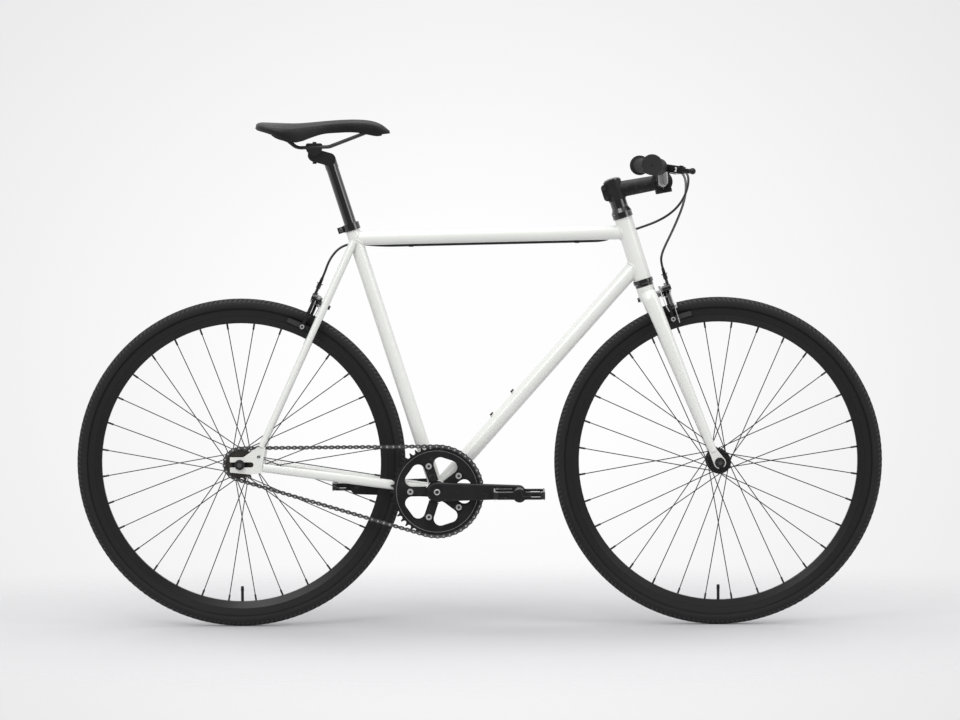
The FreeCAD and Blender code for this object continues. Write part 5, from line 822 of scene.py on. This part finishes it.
class BICYCLE_OT_frame(bpy.types.Operator):
    """Paint the frame and fork, and finish the headset, clips and bosses"""
    bl_idname = "bicycle.frame"
    bl_label = "Frame and fork"

    def execute(self, context):
        cover_nodes({
            "paint": ("head_tube", "top_tube", "down_tube", "seat_tube", "bottom_bracket_shell",
                      "chain_stays", "seat_stays", "track_ends", "fork"),
            "gloss": ("headset_cups", "headset_races", "headset_spacers", "stem_cap", "seat_collar"),
            "plastic": ("cable_clips",), "dark_steel": ("bottle_bolts",), "satin": ("bottom_bracket_cups",)})
        return {"FINISHED"}


class BICYCLE_OT_wheels(bpy.types.Operator):
    """Finish tyres, rims, spokes, hubs, axles and valves, and set the tread blocks on the tyres"""
    bl_idname = "bicycle.wheels"
    bl_label = "Wheels"

    def execute(self, context):
        for end, axle in AXLES.items():
            cover_nodes({"tyre": (end + "_tyre",), "rim": (end + "_rim",), "spoke": (end + "_spokes",),
                         "satin": (end + "_hub",), "plastic": (end + "_valve",)})

            # Lighter plate finish on the axle tips: bare steel, and a painted highlight of the bright ring on
            # the axle nuts
            def is_tip(spot, axle=axle):
                return wheel_radius(spot, axle) < AXLE_TIP_RADIUS

            spread_finish(end + "_axle", FINISH["dark_steel"], [(FINISH["link"], is_tip)])
            tread = tread_blocks(end + "_tread", axle, FINISH["tyre"])
            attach(tread, end + "_wheel")
        return {"FINISHED"}


class BICYCLE_OT_drive(bpy.types.Operator):
    """Finish the chain, cog, chainring, cranks and pedals"""
    bl_idname = "bicycle.drive"
    bl_label = "Drive"

    def execute(self, context):
        cover_nodes({
            "cog": ("rear_cog",), "ring": ("chainring",), "steel": ("chainring_bolts",),
            "satin": ("crank_arm_right", "crank_arm_left", "crank_spindle"),
            "dark_steel": ("pedal_axles",), "pedal": ("pedal_right", "pedal_left")})

        def is_plate(spot):
            return abs(spot.y + CHAIN_LINE) > LINK_PLATE_OFFSET

        def is_rivet(spot):
            return abs(spot.y + CHAIN_LINE) > RIVET_OFFSET

        spread_finish("chain", FINISH["chain"], [(FINISH["link"], is_plate), (FINISH["steel"], is_rivet)])
        return {"FINISHED"}


class BICYCLE_OT_cockpit(bpy.types.Operator):
    """Finish the stem, bar, grips, levers, post and saddle clamp"""
    bl_idname = "bicycle.cockpit"
    bl_label = "Bar, levers and post"

    def execute(self, context):
        cover_nodes({
            "satin": ("stem", "stem_faceplate", "brake_lever_left", "brake_lever_right"),
            "gloss": ("handlebar", "brake_lever_clamps", "seatpost", "saddle_clamp"),
            "dark_steel": ("stem_bolts", "saddle_rails"), "grip": ("grips",), "plastic": ("saddle_base",)})
        return {"FINISHED"}


class BICYCLE_OT_brakes(bpy.types.Operator):
    """Finish both calipers: black arms, rubber pads and bright bolts"""
    bl_idname = "bicycle.brakes"
    bl_label = "Brakes"

    def execute(self, context):
        for end, caliper in CALIPERS.items():
            axle, out, anchor = AXLES[end], Vector(caliper["out"]), Vector(caliper["anchor"])
            bright, rubber = FINISH["steel"], FINISH["pad"]

            def is_pad(spot, axle=axle):
                return abs(spot.y) < PAD_INNER_SIDE and PAD_RADII[0] < wheel_radius(spot, axle) < PAD_RADII[1]

            def is_bolt(spot, axle=axle, anchor=anchor, out=out):
                reach = (spot - anchor).dot(out)
                beside = (spot - anchor - out * reach).length
                low, high = PAD_BOLT_RADII
                at_pad = abs(spot.y) > PAD_BOLT_SIDE and low < wheel_radius(spot, axle) < high
                return at_pad or (reach > ANCHOR_FACE and beside < ANCHOR_RADIUS)

            cover_node(end + "_brake_bracket", FINISH["gloss"])
            for arm in ("_brake_arm_left", "_brake_arm_right"):
                spread_finish(end + arm, FINISH["gloss"], [(bright, is_bolt), (rubber, is_pad)])
        return {"FINISHED"}


class BICYCLE_OT_cables(bpy.types.Operator):
    """Lay both brake housings with their ferrules, bare wires and crimped wire ends"""
    bl_idname = "bicycle.cables"
    bl_label = "Brake cables"

    def execute(self, context):
        sizes = context.scene.bicycle_sizes
        for end, cable in CABLES.items():
            points = self.lay_housing(end, cable["housing"], sizes)
            self.fit_ferrule(end + "_lever_ferrule", points, "steering", sizes)
            self.fit_ferrule(end + "_caliper_ferrule", points[::-1], cable["body"], sizes)
            self.string_wire(end, cable["body"], cable["wire"], sizes)
        return {"FINISHED"}

    def lay_housing(self, end, route, sizes):
        """Housing from lever to caliper; the front one rides the steering, and the rear one, which passes
        from the bar to the frame, stays where it is laid.
        """
        points = spline_points(route)
        housing = tube(end + "_housing", points, sizes.housing_width / 2, FINISH["housing"])
        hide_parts(end + "_brake_cable")
        if end == "rear":
            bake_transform(housing)
        else:
            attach(housing, "steering")
        return points

    def fit_ferrule(self, name, points, body, sizes):
        """Sleeve over the housing's first stretch, a little narrower at its mouth."""
        run, chosen = 0.0, [points[0]]
        for a, b in zip(points, points[1:]):
            run += (b - a).length
            chosen.append(b)
            if run > FERRULE_LENGTH:
                break
        swell = [sizes.housing_width * FERRULE_SHARE] * len(chosen)
        swell[-1] = sizes.housing_width * FERRULE_MOUTH_SHARE
        ferrule = tube(name, chosen, swell, FINISH["plastic"], sides=20)
        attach(ferrule, body)

    def string_wire(self, end, body, wire, sizes):
        """Bare wire that follows the caliper's outer arm, with a crimped cap on its end."""
        strand = spline_points(wire)
        bare = tube(end + "_wire", strand, sizes.wire_width / 2, FINISH["steel"], sides=10)
        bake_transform(bare)
        tail = (strand[-1] - strand[-2]).normalized()
        cap = tube(end + "_wire_cap", [strand[-1] - tail * back for back, radius in WIRE_CAP],
                   [radius for back, radius in WIRE_CAP], FINISH["steel"], sides=12)
        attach(cap, end + "_outer_arm")


class BICYCLE_OT_saddle(bpy.types.Operator):
    """Stretch the saddle's padded cover over its shell, with a welt along the lower edge"""
    bl_idname = "bicycle.saddle"
    bl_label = "Saddle"

    def execute(self, context):
        rings = [saddle_ring(place) for place in SADDLE_RING_SHARES]
        size = len(rings[0])
        last = (len(rings) - 1) * size
        faces = saddle_end(0, size) + [face[::-1] for face in saddle_end(last, size)]
        for start in range(0, last, size):
            faces += bridge(start, start + size, size)
        verts = [spot for ring in rings for spot in ring]
        cover = place_mesh("saddle_padding", verts, faces, FINISH["vinyl"])
        shell = bmesh.new()
        shell.from_mesh(cover.data)
        bmesh.ops.recalc_face_normals(shell, faces=shell.faces)
        shell.to_mesh(cover.data)
        shell.free()
        smooth = cover.modifiers.new("Rounding", "SUBSURF")
        smooth.levels = 2
        smooth.render_levels = 2
        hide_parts("saddle_cover")
        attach(cover, "saddle")
        edge = [ring[WELT_POINT] for ring in rings] + [ring[-WELT_POINT] for ring in reversed(rings)]
        radius = context.scene.bicycle_sizes.welt_width / 2
        welt = tube("saddle_welt", edge, radius, FINISH["vinyl"], sides=8, closed=True)
        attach(welt, "saddle")
        return {"FINISHED"}


class BICYCLE_OT_welds(bpy.types.Operator):
    """Lay rippled weld beads, painted over, round the main tube joints"""
    bl_idname = "bicycle.welds"
    bl_label = "Weld beads"

    def execute(self, context):
        bead = context.scene.bicycle_sizes.bead_width / 2
        bracket, seat_top = Vector(CRANK_CENTRE), Vector(SEAT_TUBE_TOP)
        head_low, head_top = Vector(HEAD_TUBE_LOW), Vector(HEAD_TUBE_TOP)
        top_back, top_front = Vector(TOP_TUBE_BACK), Vector(TOP_TUBE_FRONT)
        seat_axis, head_axis, side_axis = seat_top - bracket, head_top - head_low, Vector(LEFT)
        down_front = head_low + head_axis.normalized() * DOWN_TUBE_RISE
        seat_tube = (bracket, seat_axis, SEAT_TUBE_RADIUS)
        head_tube = (head_low, head_axis, HEAD_TUBE_RADIUS)
        shell = (bracket, side_axis, BRACKET_RADIUS)
        joints = [
            ("top_tube_seat", top_back, top_front - top_back, TOP_TUBE_RADIUS, seat_tube),
            ("top_tube_head", top_front, top_back - top_front, TOP_TUBE_RADIUS, head_tube),
            ("down_tube_head", down_front, bracket - down_front, DOWN_TUBE_RADIUS, head_tube),
            ("down_tube_bracket", bracket, down_front - bracket, DOWN_TUBE_RADIUS, shell),
            ("seat_tube_bracket", bracket, seat_axis, SEAT_TUBE_RADIUS, shell)]
        for name, start, along, radius, base in joints:
            line = cylinder_meeting(start, along, radius, *base)
            ripple = [bead * (1.0 + RIPPLE_SHARE * math.sin(2 * math.pi * index / RIPPLE_POINTS))
                      for index in range(len(line))]
            weld = tube("weld_" + name, line, ripple, FINISH["paint"], sides=10, closed=True)
            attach(weld, "frame")
        return {"FINISHED"}


class BICYCLE_OT_fasteners(bpy.types.Operator):
    """Set hex sockets and grip end dimples as dark marks of painted shade, and bolt heads, caliper nuts,
    washers, springs and sleeves
    """
    bl_idname = "bicycle.fasteners"
    bl_label = "Fasteners"

    def execute(self, context):
        for name, body, centre, axis, radius in SOCKETS:
            self.paint_socket_shade(name, body, centre, axis, radius)
        self.bolt_chainring()
        for word, side in SIDES.items():
            self.bolt_crank(word, side)
            self.paint_dimple_shade(word, side)
        head = turned("collar_bolt_head", COLLAR_BOLT_FACE, RIGHT, COLLAR_BOLT_HEAD, FINISH["link"])
        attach(head, "frame")
        for end, caliper in CALIPERS.items():
            self.dress_caliper(end, caliper, context.scene.bicycle_sizes)
            self.sleeve_adjuster(end, CABLES[end]["wire"])
        return {"FINISHED"}

    def paint_socket_shade(self, name, body, centre, axis, radius):
        """Dark six-sided mark set in the face of a bolt head, painted shade in place of its socket's shaded
        hollow.
        """
        profile = [(-SOCKET_ROOT, radius), (SOCKET_FACE, radius), (SOCKET_FACE, radius * SOCKET_END_SHARE)]
        socket = turned("socket_" + name, centre, axis, profile, FINISH["dark_steel"], sides=6, smooth=False)
        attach(socket, body)

    def bolt_chainring(self):
        """Sockets of the bolts round the chainring, as marks of painted shade."""
        for number in range(CHAINRING_BOLTS):
            turn = math.radians(CHAINRING_FIRST_BOLT + 360.0 * number / CHAINRING_BOLTS)
            centre = (CRANK_CENTRE[0] + CHAINRING_BOLT_CIRCLE * math.cos(turn), -CHAINRING_BOLT_FACE,
                      CRANK_CENTRE[2] + CHAINRING_BOLT_CIRCLE * math.sin(turn))
            self.paint_socket_shade("chainring_%d" % number, "crankset", centre, RIGHT, CHAINRING_SOCKET_RADIUS)

    def bolt_crank(self, word, side):
        """Bright bolt that holds a crank arm, with its socket as a mark of painted shade."""
        axis, seat = (0.0, side, 0.0), side * CRANK_BOLT_SEAT
        bolt = turned("crank_bolt_" + word, (CRANK_CENTRE[0], seat, CRANK_CENTRE[2]), axis, CRANK_BOLT,
                      FINISH["steel"])
        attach(bolt, "crankset")
        face = seat + side * CRANK_BOLT[-1][0]
        self.paint_socket_shade("crank_" + word, "crankset", (CRANK_CENTRE[0], face, CRANK_CENTRE[2]), axis,
                         CRANK_SOCKET_RADIUS)

    def paint_dimple_shade(self, word, side):
        """Small darker disc in the middle of a grip's end, painted shade in place of its moulded dimple."""
        centre, axis = ((x, side * y, z) for x, y, z in (GRIP_END, OUT_OF_GRIP))
        dimple = turned("grip_dimple_" + word, centre, axis, GRIP_DIMPLE_SHADE, FINISH["plastic"])
        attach(dimple, "steering")

    def dress_caliper(self, end, caliper, sizes):
        """Bright pivot nut, return spring and two washers of a caliper."""
        pivot, out = Vector(caliper["pivot"]), Vector(caliper["out"]).normalized()
        up = Vector((-out.z, 0.0, out.x)) * caliper["hand"]
        across = up.cross(out)
        route = [pivot + out * x + across * y + up * z for x, y, z in SPRING]
        pieces = [
            turned(end + "_caliper_nut", pivot + out * NUT_PLACE, out, CALIPER_NUT, FINISH["steel"], sides=6,
                   smooth=False),
            tube(end + "_caliper_spring", spline_points(route), sizes.spring_width / 2, FINISH["steel"],
                 sides=10)]
        for word, (place, radius) in WASHERS.items():
            pieces.append(turned(end + "_caliper_washer_" + word, pivot + out * place, out,
                                 [(height, radius) for height in WASHER_HEIGHTS], FINISH["steel"]))
        for piece in pieces:
            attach(piece, caliper["body"])

    def sleeve_adjuster(self, end, wire):
        """Faceted sleeve of the barrel adjuster, on the line of the bare wire."""
        head, below = Vector(wire[0]), Vector(wire[1])
        sleeve = turned(end + "_adjuster_sleeve", head, below - head, ADJUSTER_SLEEVE, FINISH["gloss"],
                        sides=16, smooth=False)
        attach(sleeve, end + "_inner_arm")


class BICYCLE_OT_studio(bpy.types.Operator):
    """Set the pale floor, soft studio light and the camera"""
    bl_idname = "bicycle.studio"
    bl_label = "Studio"

    def execute(self, context):
        scene = context.scene
        scene.view_settings.view_transform = "Standard"
        self.lay_floor(scene.bicycle_colours)
        self.light_world(scene)
        for name, (spot, aim, size, watts) in LAMPS.items():
            lamp = bpy.data.lights.new(name, "AREA")
            lamp.size = size
            lamp.energy = watts
            holder = bpy.data.objects.new(name, lamp)
            holder.location = spot
            holder.rotation_euler = (Vector(aim) - Vector(spot)).to_track_quat("-Z", "Y").to_euler()
            scene.collection.objects.link(holder)
        lens = bpy.data.cameras.new("camera")
        lens.sensor_width = CAMERA_SENSOR
        lens.lens = CAMERA_LENS
        camera = bpy.data.objects.new("camera", lens)
        camera.location = CAMERA_PLACE
        camera.rotation_euler = tuple(math.radians(angle) for angle in CAMERA_TURN)
        scene.collection.objects.link(camera)
        scene.camera = camera
        return {"FINISHED"}

    def lay_floor(self, colours):
        """Wide disc that fades out round the bicycle, so no edge shows, with a soft painted shadow beneath
        it.
        """
        verts = [(0.0, 0.0, 0.0)]
        for radius in FLOOR_RADII:
            for step in range(FLOOR_POINTS):
                turn = 2 * math.pi * step / FLOOR_POINTS
                verts.append((radius * math.cos(turn), radius * math.sin(turn), 0.0))
        faces = [(0, 1 + step, 1 + (step + 1) % FLOOR_POINTS) for step in range(FLOOR_POINTS)]
        for ring in range(len(FLOOR_RADII) - 1):
            inner = 1 + ring * FLOOR_POINTS
            faces += bridge(inner + FLOOR_POINTS, inner, FLOOR_POINTS)
        place_mesh("studio_floor", verts, faces, self.floor_finish(colours))

    def floor_finish(self, colours):
        """Pale floor that turns clear outside an ellipse, with a painted shadow that makes it darker under
        the bicycle.
        """
        fade_length, fade_width, fade_start, fade_end = 1.35, 0.85, 0.35, 1.5
        shade_share, shade_tone = 0.22, 0.35
        material = plain_finish("Studio floor", four(colours.floor), four(colours.floor, 0.985),
                                roughness=0.62, spread=0.06, scale=1.5, grain=160.0)
        tree, surface, drift = shader_parts(material)[:3]
        spot = coordinates(tree)
        along, across = calc(tree, "ABSOLUTE", spot["X"]), calc(tree, "ABSOLUTE", spot["Y"])
        away = distance(tree, calc(tree, "DIVIDE", along, fade_length),
                        calc(tree, "DIVIDE", across, fade_width))
        tree.links.new(eased(tree, away, fade_start, fade_end, 1.0, 0.0), surface.inputs["Alpha"])
        # Painted shadow under the bicycle, darkest in the middle
        shade = product(tree, eased(tree, along, low=0.35, high=0.80, start=1.0, end=0.0),
                        eased(tree, across, low=0.05, high=0.60, start=shade_share, end=0.0))
        tone = blend_colours(tree, shade, drift.outputs["Colour"], four(colours.floor, shade_tone))
        tree.links.new(tone, surface.inputs["Base Color"])
        return material

    def light_world(self, scene):
        """Even pale light from all round; the camera and reflections see a pale backdrop instead."""
        backdrop_white, dark_side = 0.955, 0.16
        glow_width, glow_height, glow_drop, glow_edge = 0.125, 0.105, 0.05, 0.835
        scene.world = bpy.data.worlds.new("Studio")
        scene.world.use_nodes = True
        tree = scene.world.node_tree
        tree.nodes.clear()
        ray = add(tree, "ShaderNodeLightPath").outputs
        seen = calc(tree, "MAXIMUM", calc(tree, "MAXIMUM", ray["Is Camera Ray"], ray["Is Glossy Ray"]),
                    ray["Is Transmission Ray"])
        towards = coordinates(tree, "Generated")
        wall = scaled(tree, towards["Y"], low=-0.75, high=0.15, start=dark_side, end=backdrop_white)
        ceiling = scaled(tree, towards["Z"], low=0.45, high=0.85, start=0.0, end=backdrop_white)
        beside = calc(tree, "ABSOLUTE", towards["X"])
        softboxes = product(tree, scaled(tree, beside, low=0.71, high=0.74),
                            scaled(tree, beside, low=0.83, high=0.80))
        mirrored = calc(tree, "MAXIMUM", calc(tree, "MAXIMUM", wall, ceiling), softboxes)
        aside = calc(tree, "DIVIDE", towards["X"], glow_width)
        above = calc(tree, "DIVIDE", calc(tree, "ADD", towards["Z"], glow_drop), glow_height)
        glow = scaled(tree, distance(tree, aside, above), low=0.35, high=1.35, start=1.0, end=glow_edge)
        strength = calc(tree, "MINIMUM", calc(tree, "MAXIMUM", mirrored, ray["Is Camera Ray"]), glow)
        light = add(tree, "ShaderNodeBackground", {"Color": (1.0, 1.0, 1.0, 1.0), "Strength": WORLD_LIGHT})
        backdrop = add(tree, "ShaderNodeBackground", {
            "Color": four(scene.bicycle_colours.backdrop), "Strength": strength})
        mixed = add(tree, "ShaderNodeMixShader", {0: seen, 1: light.outputs[0], 2: backdrop.outputs[0]})
        add(tree, "ShaderNodeOutputWorld", {"Surface": mixed.outputs[0]})


class BICYCLE_PT_panel(bpy.types.Panel):
    """Steps that dress the bicycle, with its colours and sizes"""
    bl_idname = "BICYCLE_PT_panel"
    bl_label = "Bicycle"
    bl_space_type = "VIEW_3D"
    bl_region_type = "UI"
    bl_category = "Bicycle"

    def draw(self, context):
        for step in STEPS:
            self.layout.operator(step.bl_idname)
        for group in (context.scene.bicycle_colours, context.scene.bicycle_sizes):
            box = self.layout.box()
            for name in group.bl_rna.properties.keys():
                if name not in ("rna_type", "name"):
                    box.prop(group, name)


STEPS = (BICYCLE_OT_finishes, BICYCLE_OT_frame, BICYCLE_OT_wheels, BICYCLE_OT_drive, BICYCLE_OT_cockpit,
         BICYCLE_OT_brakes, BICYCLE_OT_cables, BICYCLE_OT_saddle, BICYCLE_OT_welds, BICYCLE_OT_fasteners,
         BICYCLE_OT_studio)
CLASSES = (BicycleColours, BicycleSizes) + STEPS + (BICYCLE_PT_panel,)


def register():
    for kind in CLASSES:
        bpy.utils.register_class(kind)
    bpy.types.Scene.bicycle_colours = bpy.props.PointerProperty(type=BicycleColours)
    bpy.types.Scene.bicycle_sizes = bpy.props.PointerProperty(type=BicycleSizes)


def unregister():
    del bpy.types.Scene.bicycle_sizes
    del bpy.types.Scene.bicycle_colours
    for kind in reversed(CLASSES):
        bpy.utils.unregister_class(kind)


def main():
    register()
    for step in STEPS:
        space, name = step.bl_idname.split(".")
        getattr(getattr(bpy.ops, space), name)()


if __name__ == "__main__":
    main()
